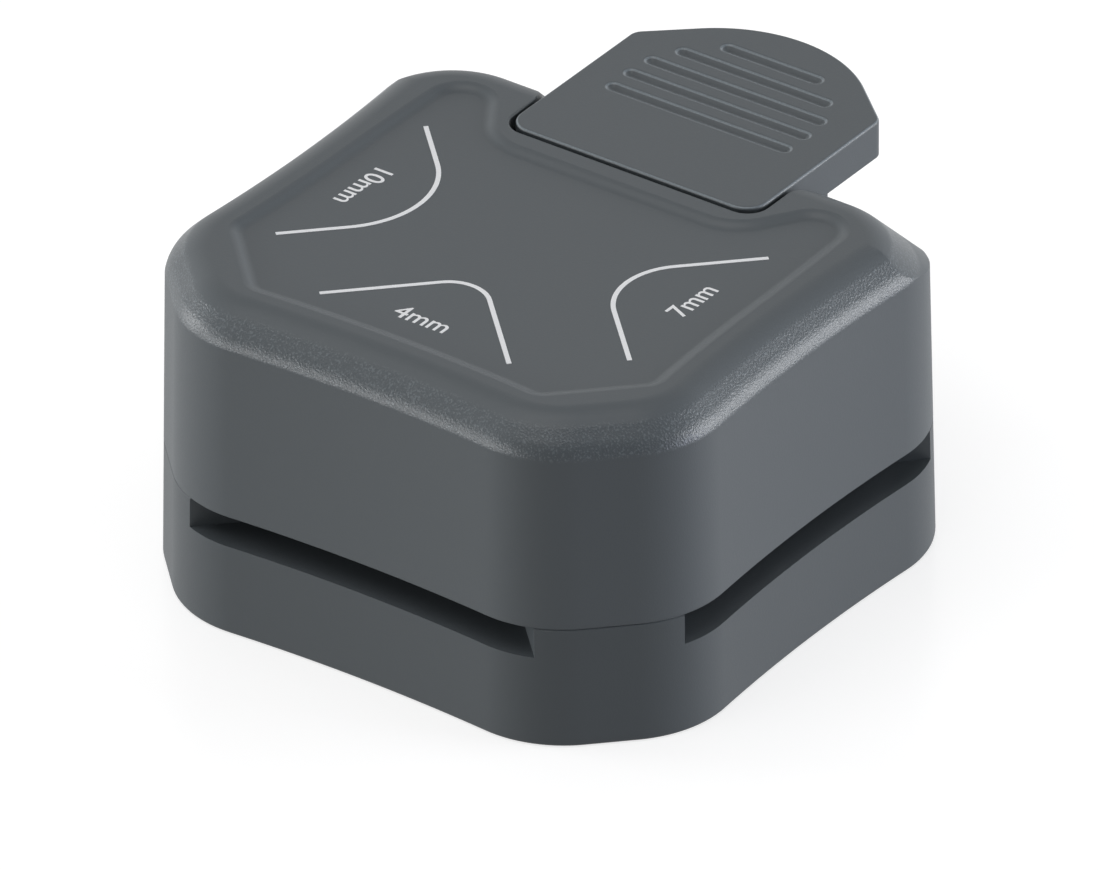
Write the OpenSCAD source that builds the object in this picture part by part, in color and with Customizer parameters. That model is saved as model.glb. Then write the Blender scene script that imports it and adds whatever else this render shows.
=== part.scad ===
// Three-in-one corner punch: a lever-pressed desk punch that rounds paper corners to three radii.
// The origin is on the table under the middle of the body. X runs along the front face, Y to the
// lever's tab and Z up. All sizes are in millimetres.

/* [Body] */
// Width between the middles of two opposite hollow sides
waist_w = 61.8; // [59:0.1:66]
// Radius of the hollow in each side
side_r = 200; // [150:5:400]
// How far the corner chamfers cut in, as the sum of both legs
corner_cut = 9.4; // [8.5:0.1:11]
// Radius where a side runs into a chamfer
corner_r = 11.8; // [9:0.1:12.5]
// Lean of the outer walls, in degrees
draft = 1.2; // [0.4:0.1:2]
// Height from the table to the top of the lever
height = 35.1; // [34.4:0.1:38]
// Length from the front face to the tip of the lever
length = 73.9; // [70:0.1:78]
// Height of the joint between the base and the upper housing
split_z = 12.9; // [12.5:0.1:13.3]
// Wall thickness of both housings
wall = 2.2; // [1.8:0.1:2.6]
// Thickness of the base's bottom around the waste opening
floor_t = 1.9; // [1.7:0.1:2.2]
// Bevel of the bottom edge
foot_r = 0.4; // [0.2:0.1:0.8]

/* [Top] */
// How far the rim lies below the top of the lever
rim_drop = 0.15; // [0.1:0.05:0.6]
// Height of the shoulder between the wall and the rim
shoulder_h = 3.45; // [2.8:0.05:4.2]
// Width of the shoulder, seen from above
shoulder_w = 4.6; // [4.2:0.1:5.2]
// Rounding of the shoulder's lower edge
shoulder_low_r = 1; // [0.5:0.1:1.4]
// Rounding of the shoulder's upper edge
shoulder_top_r = 4; // [3:0.1:4.4]
// Distance from the outline to the edge of the top panel
panel_inset = 6.9; // [6.4:0.1:8]
// Depth of the top panel below the rim
panel_depth = 0.5; // [0.3:0.05:0.8]
// Where the panel's two rear lobes end, behind the middle
panel_rear = 17.5; // [15.5:0.1:18]
// Width of rim left between the panel and the lever's notch
panel_notch_gap = 2.8; // [2:0.1:3.2]
// Rounding of the panel's corners beside the notch
panel_r = 3; // [2:0.1:3.2]
// Where the rear slope starts, behind the middle
rear_slope_y = 20.5; // [19.5:0.1:22]
// Fall of the rear slope, in degrees
rear_slope_deg = 45; // [40:1:50]
// Rounding of the crease between the rim and the rear slope
crease_r = 4; // [2:0.5:6]
// Rounding of the rim's rear corners, seen from above
rear_corner_r = 8; // [6:0.5:10]
// Half width of the rim's rear edge, up to where its rounded corners would meet the sides
rear_corner_x = 28.4; // [28:0.1:29.5]
// Rounding of the notch's edges on the rear slope
mouth_r = 1.9; // [1:0.1:2]

/* [Lever] */
// Width of the lever's tab
tab_w = 29.1; // [27:0.1:30.2]
// Front edge of the tab, behind the middle
tab_front = 13.4; // [12.5:0.1:14.5]
// Radius of the tab's rear end
tab_tip_r = 14.8; // [13:0.1:16]
// Angle of the straight flanks beside the rear end, in degrees
tab_flank_deg = 41; // [37:1:45]
// Height of the tab's side walls
tab_h = 4.1; // [3.6:0.1:4.6]
// Thickness of the tab's top, its walls and the skirt
tab_wall = 2; // [1.6:0.1:2.4]
// Gap between the tab and its notch, and between the arm and the ears
notch_gap = 0.3; // [0.25:0.05:0.6]
// Rounding of the notch's inner corners
notch_r = 2; // [1:0.1:3]
// Room under the pressed tab in the notch
notch_room = 1; // [0.6:0.1:1.4]
// Number of finger grooves
groove_count = 5; // [3:1:5]
// Distance of the last finger groove from the tip
groove_tip = 5.25; // [4.5:0.05:6]
// Distance from groove to groove
groove_pitch = 3.06; // [2.6:0.02:3.2]
// Length of the longest groove
groove_l = 22.2; // [18:0.1:24]
// Distance from the grooves' ends to the tab's round end
groove_margin = 3.45; // [3:0.05:4.4]
// Width of a groove
groove_w = 1.3; // [0.9:0.1:1.6]
// Depth of a groove
groove_depth = 0.45; // [0.3:0.05:0.7]
// Diameter of the pivot pin
pin_d = 4; // [3.5:0.1:4.4]
// Wall past the ends of the pivot pin and of the hinge pin
pin_end_wall = 0.6; // [0.4:0.1:1]
// Wall of the lever's hub round its bore
hub_wall = 1.6; // [1.2:0.1:1.7]
// Length of the block that joins the hub to the arm
hub_block = 5; // [4:0.1:6]
// Width of the lever's arm inside the housing
arm_w = 22; // [20:0.1:23]
// Thickness of the arm's plate
arm_t = 2.2; // [1.8:0.1:2.6]
// Play above the arm's plate
arm_play = 1.2; // [0.8:0.1:1.6]
// Width of the rib along the arm
rib_w = 10; // [7:0.1:12]
// Gap between the rib and the pressure pad
rib_gap = 3.2; // [2.6:0.1:3.4]
// Radius of the nose that presses the punch holder
nose_r = 3; // [2.4:0.1:3.2]
// Width of the nose
nose_w = 8; // [6:0.1:10]
// Depth of the skirt that closes the rear opening
skirt_h = 10.5; // [9.5:0.1:11.5]
// Room between the skirt and the rear wall
skirt_room = 2.9; // [2.4:0.1:3.4]

/* [Pivot ears] */
// Thickness of the ears and caps that hold the pivot pin
ear_t = 4.2; // [3.6:0.1:4.6]
// Gap between the ears and the front wall
ear_front_gap = 1.2; // [0.8:0.1:1.6]
// Gap between the ears and the punch holder
ear_rear_gap = 1.13; // [0.8:0.01:1.6]
// Height of the caps under the ears
cap_h = 4; // [3.6:0.1:4.4]
// Distance of a cap's screws from its front and rear ends
cap_screw_end = 2.5; // [2:0.1:2.8]
// Depth of the cap screws' thread in an ear
cap_thread = 6; // [5:0.5:6.5]

/* [Paper slots] */
// Height of the slots at the outside
slot_h = 3.2; // [2.8:0.1:3.4]
// Distance of the paper's corner from the middle
slot_apex = 10.2; // [9.8:0.1:10.8]
// Height of the paper's way between the plates
throat = 1.5; // [1.2:0.1:1.8]

/* [Cutters] */
// Corner radius cut at the left
radius_left = 10; // [9:0.5:10.5]
// Corner radius cut at the front
radius_front = 4; // [3:0.5:5]
// Corner radius cut at the right
radius_right = 7; // [6:0.5:8]
// How far a punch reaches past the paper's edges
punch_margin = 1; // [0.7:0.1:1.3]
// Thickness of a punch behind the paper's corner
punch_back = 1.6; // [1.2:0.1:2]
// Depth of the thread in a punch
punch_thread = 5; // [4:0.5:5.5]
// How deep the punches enter the die
die_entry = 1; // [0.6:0.1:1.2]
// How far the punches lie back in the stripper at rest
tip_hide = 0.2; // [0.1:0.05:0.3]
// Clearance between punch and die
die_gap = 0.05; // [0.03:0.01:0.08]
// Thickness of the die plate
die_t = 2; // [1.6:0.1:2.2]
// Thickness of the stripper plate
stripper_t = 1.5; // [1.2:0.1:1.7]
// Half width of the plates
plate_half = 22; // [21.5:0.1:23]
// Half width of the plates across their cut corners, as the sum of both legs
plate_diag = 34; // [32.5:0.1:34.5]
// Gap between the stripper's lips and the walls
lip_gap = 0.8; // [0.5:0.1:1.2]
// Thickness of the base's deck under the die plate
deck_t = 1.1; // [0.9:0.1:1.3]
// Room round a cut corner that falls through the deck
window_gap = 0.5; // [0.3:0.1:0.7]

/* [Punch holder] */
// Height of the holder
holder_h = 6; // [5.5:0.1:6.5]
// Wall of the holder round a punch
holder_wall = 1.8; // [1.4:0.1:2]
// Depth of the pockets that hold the punches
pocket_h = 3; // [2.5:0.1:3.4]
// Room left under the holder at the end of the stroke
holder_room = 0.6; // [0.4:0.1:1]
// Thickness of the steel pad under the lever's nose
pad_t = 1; // [0.8:0.1:1.2]
// How far the pad stands above the holder
pad_proud = 0.4; // [0.3:0.05:0.5]
// Side of the square pad
pad_w = 9; // [8:0.1:10]
// Gap between the pad and the nose
touch_gap = 0.05; // [0.03:0.01:0.1]
// Diameter of the guide posts
post_d = 4; // [3.5:0.1:4.4]
// Sideways place of the guide posts
post_x = 11.5; // [11:0.1:12]
// Place of the guide posts behind the middle
post_y = 12.5; // [12.2:0.1:13]
// How far the guide posts stand above the holder
post_proud = 0.6; // [0.3:0.1:0.9]
// Wall of the guide bushes
bush_wall = 1; // [0.8:0.1:1.2]

/* [Return spring] */
// Outer diameter of the spring
spring_d = 8.6; // [8:0.1:9]
// Diameter of the wire
wire_d = 0.8; // [0.6:0.05:0.9]
// Number of turns
spring_turns = 5; // [4:0.5:5.5]
// Depth of the spring's pocket in the holder
spring_pocket = 3.5; // [3:0.1:4]
// Room round the spring
spring_room = 0.4; // [0.3:0.05:0.6]

/* [Fasteners] */
// Place of the corner screws along both axes
corner_screw = 20.5; // [20.2:0.1:20.8]
// Diameter of the corner screws
corner_screw_d = 3; // [2.5:0.1:3.2]
// Diameter of a corner screw's head
corner_head_d = 5.6; // [5:0.1:6]
// Height of a corner screw's head
corner_head_h = 2; // [1.6:0.1:2.4]
// Depth of the corner screws' heads in the bottom
counterbore_h = 3; // [2.6:0.1:3.4]
// Diameter of the corner bosses
boss_d = 8; // [7.6:0.1:8.2]
// Depth of the thread in the upper housing
corner_thread = 12; // [9:0.5:14]
// Place of the die screws along both axes
die_screw = 15; // [14.6:0.1:15.2]
// Diameter of the die screws
die_screw_d = 2.5; // [2:0.1:2.6]
// Diameter of a die screw's head
die_head_d = 4.4; // [4:0.1:4.8]
// Height of a die screw's head
die_head_h = 0.7; // [0.5:0.1:0.8]
// Diameter of the small screws in the pin caps and the punches
small_screw_d = 2; // [1.6:0.1:2.2]
// Diameter of a small screw's head
small_head_d = 3.6; // [3.2:0.1:3.8]
// Height of a small screw's head
small_head_h = 1.4; // [1.2:0.1:1.6]
// Depth of a sunk screw's head below its surface
head_sink = 0.1; // [0.05:0.05:0.2]
// Room past the end of a screw
screw_room = 1; // [0.5:0.1:1.2]
// Wall of the bosses round the guide posts and the die screws
boss_wall = 1.6; // [1.2:0.1:1.7]
// Thickness of those bosses under what they hold
boss_floor = 1; // [0.8:0.1:1.2]

/* [Waste cover] */
// Half width of the cover
cover_half = 21.7; // [21:0.1:21.9]
// Half width of the cover across its cut corners, as the sum of both legs
cover_diag = 32.6; // [31:0.1:32.8]
// Thickness of the cover
cover_t = 1.3; // [1.1:0.1:1.4]
// Gap round the cover, and between the cover and the table
cover_gap = 0.4; // [0.3:0.05:0.5]
// Gap along the cover's cut corners, wide enough for its swing
cover_corner_gap = 0.85; // [0.8:0.05:1]
// Room between the cover and the bosses above it
boss_room = 1; // [0.8:0.1:1.2]
// Diameter of the hinge pin
hinge_d = 2; // [1.6:0.1:2.2]
// Length of the hinge pin
hinge_l = 22; // [20:0.5:22.5]
// Hinge pin's place behind the middle
hinge_y = 23; // [22.9:0.05:23.2]
// Wall of the knuckles and lugs round the hinge pin
knuckle_wall = 0.75; // [0.6:0.05:0.9]
// Length of a knuckle
knuckle_l = 4; // [3:0.1:5]
// Thickness of the lugs that hold the hinge pin
lug_t = 2; // [1.6:0.1:2.4]
// Width of the tongue at the cover's front edge
tongue_w = 10; // [8:0.5:12]
// Thickness of the tongue
tongue_t = 1.2; // [1:0.1:1.4]
// Height of the tongue above the base's bottom plate
tongue_h = 2.4; // [1.8:0.1:2.8]
// Number of grip grooves in the cover
grip_count = 3; // [2:1:4]
// Length of a grip groove
grip_l = 12; // [8:0.5:16]
// Width of a grip groove
grip_w = 0.8; // [0.6:0.1:1]
// Distance from grip groove to grip groove
grip_pitch = 1.6; // [1.4:0.1:2]
// Depth of a grip groove
grip_depth = 0.4; // [0.3:0.05:0.5]

/* [Fits] */
// Radial clearance of pins and posts that turn or slide
run_gap = 0.05; // [0.03:0.01:0.08]
// Clearance of pieces that lie still in a pocket
seat_gap = 0.03; // [0.02:0.01:0.05]
// Clearance round plates and heads
loose_gap = 0.15; // [0.1:0.05:0.25]

/* [Hidden] */
$fn = 64;

// A length past every face, how far cuts and joins run past a face, and a sliver that keeps them apart
far = 100;
over = 1;
eps = 0.01;

charcoal = [0.33, 0.34, 0.36];
dark = [0.16, 0.16, 0.17];
steel = [0.72, 0.73, 0.75];
tool_steel = [0.55, 0.56, 0.58];
bronze = [0.72, 0.56, 0.32];

// Points per half side and per rounded joint of the outline
side_n = 5;
arc_n = 6;

// Flats that round the crease above the rear slope
crease_n = 4;

// Degrees from one flat to the next round the rim's rear corners
turn_step = 15;

// Cross recess of a screw, as shares of its head
cross_l = 0.6;
cross_w = 0.14;
cross_depth = 0.55;

// Levels up the object
die_top = split_z - slot_h;
die_bottom = die_top - die_t;
deck_bottom = die_bottom - deck_t;
stripper_bottom = die_top + throat;
stripper_top = stripper_bottom + stripper_t;
punch_tip = stripper_bottom + tip_hide;
stroke = throat + tip_hide + die_entry;
holder_bottom = stripper_top + stroke + holder_room;
holder_top = holder_bottom + holder_h;
punch_top = holder_bottom + pocket_h;
pad_top = holder_top + pad_proud;
nose_z = pad_top + touch_gap + nose_r;
pivot_z = nose_z - stroke / 2;
rim_z = height - rim_drop;
panel_z = rim_z - panel_depth;
ceiling_z = panel_z - wall;
shoulder_z = rim_z - shoulder_h;
tab_bottom = height - tab_h;
arm_top = ceiling_z - arm_play;
arm_bottom = arm_top - arm_t;
rib_bottom = pad_top + rib_gap;
cover_top = cover_gap + cover_t;
boss_bottom = cover_top + boss_room;
boss_hole = boss_bottom + boss_floor;

// Ears between the front wall and the holder, with the pivot halfway
ear_front = waist_w / 2 - lean(pivot_z) - wall - ear_front_gap;
ear_rear = cut_half("left") + holder_wall + ear_rear_gap;
ear_l = ear_front - ear_rear;
pivot_y = (ear_front + ear_rear) / 2;
cap_screw_y = ear_l / 2 - cap_screw_end;

// The nose swings equally far above and below the pivot's height
press_deg = 2 * asin(stroke / 2 / norm([pivot_y, stroke / 2]));
coupling_mm = stroke / (press_deg * PI / 180);
echo(press_deg = press_deg, stroke = stroke, mm_per_rad = coupling_mm, pivot = [0, -pivot_y, pivot_z]);

// Outline of the body: the centre of a rounded joint and the angle where the side meets it
chamfer_sum = waist_w - corner_cut;
joint_sum = chamfer_sum - corner_r * sqrt(2);
joint_d = joint_sum - waist_w / 2 - side_r;
joint_y = (joint_d + sqrt(2 * pow(side_r + corner_r, 2) - joint_d * joint_d)) / 2;
joint_c = [joint_sum - joint_y, joint_y];
side_a = atan2(joint_y, waist_w / 2 + side_r - joint_c.x);
body_half = joint_c.x + corner_r;
tab_tip = length - body_half;
echo(body_w = 2 * body_half, tab_tip = tab_tip);

// Lever, its notch and its ears
notch_half = tab_w / 2 + notch_gap;
notch_front = tab_front - notch_gap;
back_drop = (waist_w / 2 + pivot_y) * sin(press_deg);
notch_floor = tab_bottom - back_drop - notch_room;
skirt_y = waist_w / 2 - wall - skirt_room - tab_wall;
tab_round_y = tab_tip - tab_tip_r;
tab_flank = (tab_tip_r - eps) * [sin(tab_flank_deg), cos(tab_flank_deg)];
tab_corner_y = tab_round_y + (tab_tip_r - tab_w / 2 * sin(tab_flank_deg)) / cos(tab_flank_deg);
ear_x = arm_w / 2 + notch_gap;
pin_half = ear_x + ear_t - pin_end_wall;
hub_r = pin_d / 2 + run_gap + hub_wall;

// Holder, bosses and screws
bush_r = post_d / 2 + run_gap + bush_wall;
post_boss_r = post_d / 2 + boss_wall;
die_boss_r = die_screw_d / 2 + boss_wall;
die_head_z = stripper_top - die_head_h - head_sink;
small_head_z = holder_top - small_head_h - head_sink;
corner_screw_l = split_z - counterbore_h + corner_thread - screw_room;
spring_r = (spring_d - wire_d) / 2;
spring_hole_r = spring_d / 2 + spring_room;
spring_top = holder_bottom + spring_pocket;
lip_half = waist_w / 2 - split_z * tan(draft) - wall - lip_gap;

// Hinge of the waste cover, and the opening that the cover swings in
knuckle_r = hinge_d / 2 + run_gap + knuckle_wall;
hinge_z = knuckle_r + 1.5 * cover_gap;
hinge_front = hinge_y - knuckle_r - cover_gap;
opening_diag = cover_diag + cover_corner_gap * sqrt(2);
hinge_half = opening_diag - hinge_front;
hinge_rear = hinge_y + hinge_z + cover_gap;
lug_out = hinge_l / 2 + pin_end_wall;
lug_in = lug_out - lug_t;
knuckle_x = lug_in - cover_gap - knuckle_l / 2;

// The three cutters by the side that each lies on
cutters = ["left", "front", "right"];

function cut_radius(name) = name == "left" ? radius_left : name == "front" ? radius_front : radius_right;

// Half width of a cutter, and how far it reaches from the middle
function cut_half(name) = cut_radius(name) / sqrt(2) + punch_margin;

function cut_reach(name) = slot_apex + cut_radius(name) / sqrt(2);

// Inset of the leaning wall at height z
function lean(z) = z * tan(draft);

// An eighth of the outline, moved in by d
function octant(d) = concat(
    [for (j = [0 : side_n - 1]) let (t = side_a * j / side_n)
        [waist_w / 2 + side_r - (side_r + d) * cos(t), (side_r + d) * sin(t)]],
    [for (t = concat([-side_a], [for (j = [0 : arc_n]) 45 * j / arc_n]))
        joint_c + (corner_r - d) * [cos(t), sin(t)]]);

// A quarter of the outline, from the middle of one side to just before the middle of the next
function quarter(d) = let (o = octant(d))
    concat(o, [for (j = [len(o) - 2 : -1 : 1]) [o[j].y, o[j].x]]);

// The whole outline, moved in by d
function ring(d) = [for (q = [0 : 3]) for (p = quarter(d))
    [p.x * cos(90 * q) - p.y * sin(90 * q), p.x * sin(90 * q) + p.y * cos(90 * q)]];

// Solid through outlines at the given levels, each [inset, height]
module loft(levels) {
    n = len(ring(0));
    m = len(levels);
    points = [for (l = levels) for (p = ring(l[0])) [p.x, p.y, l[1]]];
    skin = [for (k = [0 : m - 2]) for (j = [0 : n - 1])
        let (a = k * n + j, b = k * n + (j + 1) % n)
            each [[a, a + n, b], [b, a + n, b + n]]];
    floor_face = [for (j = [0 : n - 1]) j];
    roof_face = [for (j = [n - 1 : -1 : 0]) (m - 1) * n + j];
    polyhedron(points, concat(skin, [floor_face, roof_face]));
}

// Levels of the shoulder: a rounded lower edge, a slope and a rounded upper edge
shoulder_levels = concat(
    [for (t = [0, 22.5, 45])
        [lean(shoulder_z) + shoulder_low_r * (1 - cos(t)), shoulder_z + shoulder_low_r * sin(t)]],
    [for (t = [45, 30, 15, 0])
        [lean(shoulder_z) + shoulder_w - shoulder_top_r * sin(t), rim_z - shoulder_top_r * (1 - cos(t))]]);

// Space above a plane through y and z that falls to the rear by the angle a
module above_plane(y, z, a) {
    translate([0, y, z])
        rotate([-a, 0, 0])
            translate([-far / 2, -far / 4, 0])
                cube([far, far, far / 2]);
}

// Space above the rear slope, let down by d
module above_rear_slope(d) {
    above_plane(rear_slope_y - d * sin(rear_slope_deg), rim_z - d * cos(rear_slope_deg), rear_slope_deg);
}

// Space above the rounded crease between the rim and the rear slope
module above_crease() {
    bend = crease_r * tan(rear_slope_deg / 2);
    for (k = [1 : crease_n - 1])
        let (a = rear_slope_deg * k / crease_n)
            above_plane(rear_slope_y - bend + crease_r * sin(a), rim_z - crease_r * (1 - cos(a)), a);
}

// A space of the rear slope, repeated round the rim's rear corners
module round_rear() {
    children();
    for (s = [-1, 1])
        for (t = [turn_step : turn_step : 90 - turn_step])
            translate([s * (rear_corner_x - rear_corner_r), rear_slope_y - rear_corner_r, 0])
                rotate(-s * t)
                    translate([0, rear_corner_r - rear_slope_y, 0])
                        children();
}

// Flat octagon of the given half width and corner sum
module octagon(half, diag) {
    e = diag - half;
    polygon([[half, -e], [half, e], [e, half], [-e, half], [-half, e], [-half, -e], [-e, -half], [e, -half]]);
}

// Block from corner to corner
module block(low, high) {
    translate(low)
        cube(high - low);
}

// Cylinder along X between two places, on the line through y and z
module rod(r, x0, x1, y, z) {
    translate([x0, y, z])
        rotate([0, 90, 0])
            cylinder(r = r, h = x1 - x0);
}

// One copy at each of four corners
module at_corners(d) {
    for (x = [-d, d], y = [-d, d])
        translate([x, y, 0])
            children();
}

// One copy at each guide post
module at_posts() {
    for (s = [-1, 1])
        translate([s * post_x, post_y, 0])
            children();
}

// Turns a shape made for the left side to the side of the given cutter
module to_side(name) {
    rotate([0, 0, name == "left" ? 0 : name == "front" ? 90 : 180])
        children();
}

// Plan of the left punch for the named cutter, grown by g: a block with a hollow front edge
module punch_plan(name, g) {
    r = cut_radius(name);
    half = cut_half(name) + g;
    difference() {
        translate([-cut_reach(name) - g, -half])
            square([cut_reach(name) - slot_apex + punch_back + 2 * g, 2 * half]);
        translate([-slot_apex - r * sqrt(2), 0])
            circle(r - g);
    }
}

// Way of the paper's corner into the left side, moved in by g on both legs
module paper_way(reach, g) {
    a = slot_apex + g * sqrt(2);
    polygon([[-a, 0], [-reach, reach - a], [-reach, a - reach]]);
}

// Strip to the rear with a front edge and two rounded front corners
module strip_plan(half, front, r) {
    translate([-half, front + r])
        square([2 * half, far]);
    translate([-half + r, front])
        square([2 * (half - r), far]);
    for (s = [-1, 1])
        translate([s * (half - r), front + r])
            circle(r);
}

// Screw with its head's underside at z = 0, the shank pointing down
module screw(d, l, head_d, head_h) {
    difference() {
        union() {
            translate([0, 0, -l])
                cylinder(d = d, h = l + eps);
            cylinder(d = head_d, h = head_h);
        }
        for (a = [0, 90])
            rotate([0, 0, a])
                translate([-head_d * cross_l / 2, -head_d * cross_w / 2, head_h * (1 - cross_depth)])
                    cube([head_d * cross_l, head_d * cross_w, head_h]);
    }
}

// Groove of the given length with round ends, cut from above
module groove(l) {
    translate([-(l - groove_w) / 2, -groove_w / 2, 0])
        cube([l - groove_w, groove_w, far]);
    for (s = [-1, 1])
        translate([s * (l - groove_w) / 2, 0, 0])
            cylinder(d = groove_w, h = far);
}

// Space that rounds the notch's edge on the rear slope, on the side s
module mouth_edge(s) {
    translate([s * notch_half, rear_slope_y, rim_z])
        rotate([90 - rear_slope_deg, 0, 0])
            linear_extrude(far, center = true)
                difference() {
                    translate([s > 0 ? -over : -mouth_r, -mouth_r])
                        square([mouth_r + over, mouth_r + over]);
                    translate([s * (mouth_r - eps), -mouth_r])
                        circle(mouth_r);
                }
}

// Sunk panel of the top, with a lobe on each side of the notch
module panel_plan() {
    keep = notch_half + panel_notch_gap;
    offset(r = panel_r, $fn = 24)
        offset(r = -panel_r, $fn = 24)
            difference() {
                polygon(ring(panel_inset));
                translate([-far / 2, panel_rear])
                    square([far, far]);
                translate([-keep, notch_front - panel_notch_gap])
                    square([2 * keep, far]);
            }
}

module upper_shell() {
    difference() {
        loft(concat([[lean(split_z), split_z]], shoulder_levels));
        round_rear()
            above_rear_slope(0);
        round_rear()
            above_crease();
        difference() {
            loft([[wall + lean(split_z), split_z - eps],
                [wall + lean(shoulder_z), shoulder_z - wall / 2],
                [wall + lean(shoulder_z) + shoulder_w, ceiling_z]]);
            round_rear()
                above_rear_slope(wall);
        }
        translate([0, 0, panel_z])
            linear_extrude(far)
                panel_plan();
    }
}

// Space of an ear or its cap between two levels, on the side s
module ear_block(s, low, high) {
    x = s > 0 ? ear_x : -ear_x - ear_t;
    block([x, -pivot_y - ear_l / 2, low], [x + ear_t, -pivot_y + ear_l / 2, high]);
}

// Space of the pivot pin, grown by gap
module pin_space(gap) {
    rod(pin_d / 2 + gap, -pin_half - gap, pin_half + gap, -pivot_y, pivot_z);
}

// Copies at the four screws of the pin caps
module at_cap_screws(level) {
    for (s = [-1, 1], t = [-1, 1])
        translate([s * (ear_x + ear_t / 2), -pivot_y + t * cap_screw_y, level])
            children();
}

module upper_housing() {
    color(charcoal)
        difference() {
            union() {
                upper_shell();
                difference() {
                    at_corners(corner_screw)
                        translate([0, 0, split_z])
                            cylinder(d = boss_d, h = ceiling_z + panel_depth - split_z);
                    round_rear()
                        above_rear_slope(wall / 2);
                }
                for (s = [-1, 1])
                    ear_block(s, pivot_z, ceiling_z + panel_depth);
            }
            translate([0, 0, notch_floor])
                linear_extrude(far)
                    strip_plan(notch_half, notch_front, notch_r);
            for (s = [-1, 1])
                mouth_edge(s);
            pin_space(seat_gap);
            at_cap_screws(pivot_z - over)
                cylinder(d = small_screw_d, h = cap_thread + over);
            at_corners(corner_screw)
                translate([0, 0, split_z - over])
                    cylinder(d = corner_screw_d, h = corner_thread + over);
        }
}

// Openings in the deck that the cut corners fall through
module deck_windows() {
    for (name = cutters)
        to_side(name)
            block([-cut_reach(name) - window_gap, -cut_half(name) - window_gap, deck_bottom - over],
                [punch_back - slot_apex + window_gap, cut_half(name) + window_gap, die_bottom + over]);
}

// Opening in the bottom, with room for the hinge at the rear
module cover_opening() {
    translate([0, 0, -over])
        linear_extrude(floor_t + 2 * over)
            octagon(cover_half + cover_gap, opening_diag);
    block([-hinge_half, hinge_front, -over], [hinge_half, hinge_rear, hinge_z + knuckle_r + cover_gap]);
}

// Lugs that hold the ends of the hinge pin, tied to the rear wall
module hinge_lugs() {
    for (x = [-lug_out, lug_in]) {
        rod(knuckle_r, x, x + lug_t, hinge_y, hinge_z);
        block([x, hinge_y, hinge_z - knuckle_r], [x + lug_t, waist_w / 2 - wall / 2, hinge_z + knuckle_r]);
    }
}

// Space of the hinge pin, grown by gap
module hinge_pin_space(gap) {
    rod(hinge_d / 2 + gap, -hinge_l / 2 - gap, hinge_l / 2 + gap, hinge_y, hinge_z);
}

// Chamber for the cut corners, with the bosses left standing in it
module waste_chamber() {
    difference() {
        loft([[wall, floor_t], [wall + lean(deck_bottom), deck_bottom]]);
        at_corners(corner_screw)
            cylinder(d = boss_d, h = split_z);
        at_corners(die_screw)
            translate([0, 0, boss_bottom])
                cylinder(r = die_boss_r, h = split_z);
        at_posts()
            translate([0, 0, boss_bottom])
                cylinder(r = post_boss_r, h = split_z);
    }
}

module base_housing() {
    color(charcoal)
        difference() {
            union() {
                difference() {
                    loft([[foot_r, 0], [lean(foot_r), foot_r], [lean(split_z), split_z]]);
                    waste_chamber();
                    cover_opening();
                }
                hinge_lugs();
            }
            translate([0, 0, die_bottom])
                linear_extrude(far)
                    octagon(plate_half + loose_gap, plate_diag + loose_gap * sqrt(2));
            for (name = cutters)
                to_side(name)
                    translate([0, 0, die_top])
                        linear_extrude(far)
                            paper_way(far / 2, 0);
            deck_windows();
            at_corners(corner_screw)
                translate([0, 0, -over]) {
                    cylinder(d = corner_screw_d + 2 * loose_gap, h = far);
                    cylinder(d = corner_head_d + 2 * loose_gap, h = counterbore_h + over);
                }
            at_corners(die_screw)
                translate([0, 0, boss_hole])
                    cylinder(d = die_screw_d, h = far);
            at_posts()
                translate([0, 0, boss_hole])
                    cylinder(d = post_d + 2 * seat_gap, h = far);
            hinge_pin_space(seat_gap);
        }
}

// Plan of the lever's tab
module tab_plan() {
    intersection() {
        strip_plan(tab_w / 2, tab_front, max(notch_r - notch_gap, eps));
        union() {
            polygon([[-tab_w / 2, 0], [tab_w / 2, 0], [tab_w / 2, tab_corner_y],
                [tab_flank.x, tab_round_y + tab_flank.y], [-tab_flank.x, tab_round_y + tab_flank.y],
                [-tab_w / 2, tab_corner_y]]);
            translate([0, tab_round_y])
                circle(tab_tip_r, $fn = 128);
        }
    }
}

// Length of groove number k from the tip, following the round end of the tab
function groove_len(k) = let (y = tab_tip_r - groove_tip - k * groove_pitch)
    min(groove_l, 2 * sqrt(pow(tab_tip_r - groove_margin, 2) - y * y));

// Finger tab: a flat cup with grooves in its top
module tab() {
    difference() {
        translate([0, 0, tab_bottom])
            linear_extrude(tab_h)
                tab_plan();
        block([tab_wall - tab_w / 2, skirt_y + tab_wall, tab_bottom - over],
            [tab_w / 2 - tab_wall, tab_corner_y - tab_wall, height - tab_wall]);
        for (k = [0 : groove_count - 1])
            translate([0, tab_tip - groove_tip - k * groove_pitch, height - groove_depth])
                groove(groove_len(k));
    }
}

// Arm inside the housing: a plate, a rib under it and the riser to the tab
module arm() {
    block([-arm_w / 2, -pivot_y - hub_block / 2, arm_bottom], [arm_w / 2, tab_front + tab_wall, arm_top]);
    block([-arm_w / 2, tab_front, arm_bottom], [arm_w / 2, tab_front + tab_wall, tab_bottom + over]);
    block([-rib_w / 2, -pivot_y, rib_bottom], [rib_w / 2, skirt_y + tab_wall / 2, arm_bottom + over]);
    block([-rib_w / 2, tab_front, arm_bottom], [rib_w / 2, skirt_y + tab_wall / 2, tab_bottom + over]);
    block([-tab_w / 2, skirt_y, tab_bottom - skirt_h], [tab_w / 2, skirt_y + tab_wall, tab_bottom + over]);
}

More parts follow.
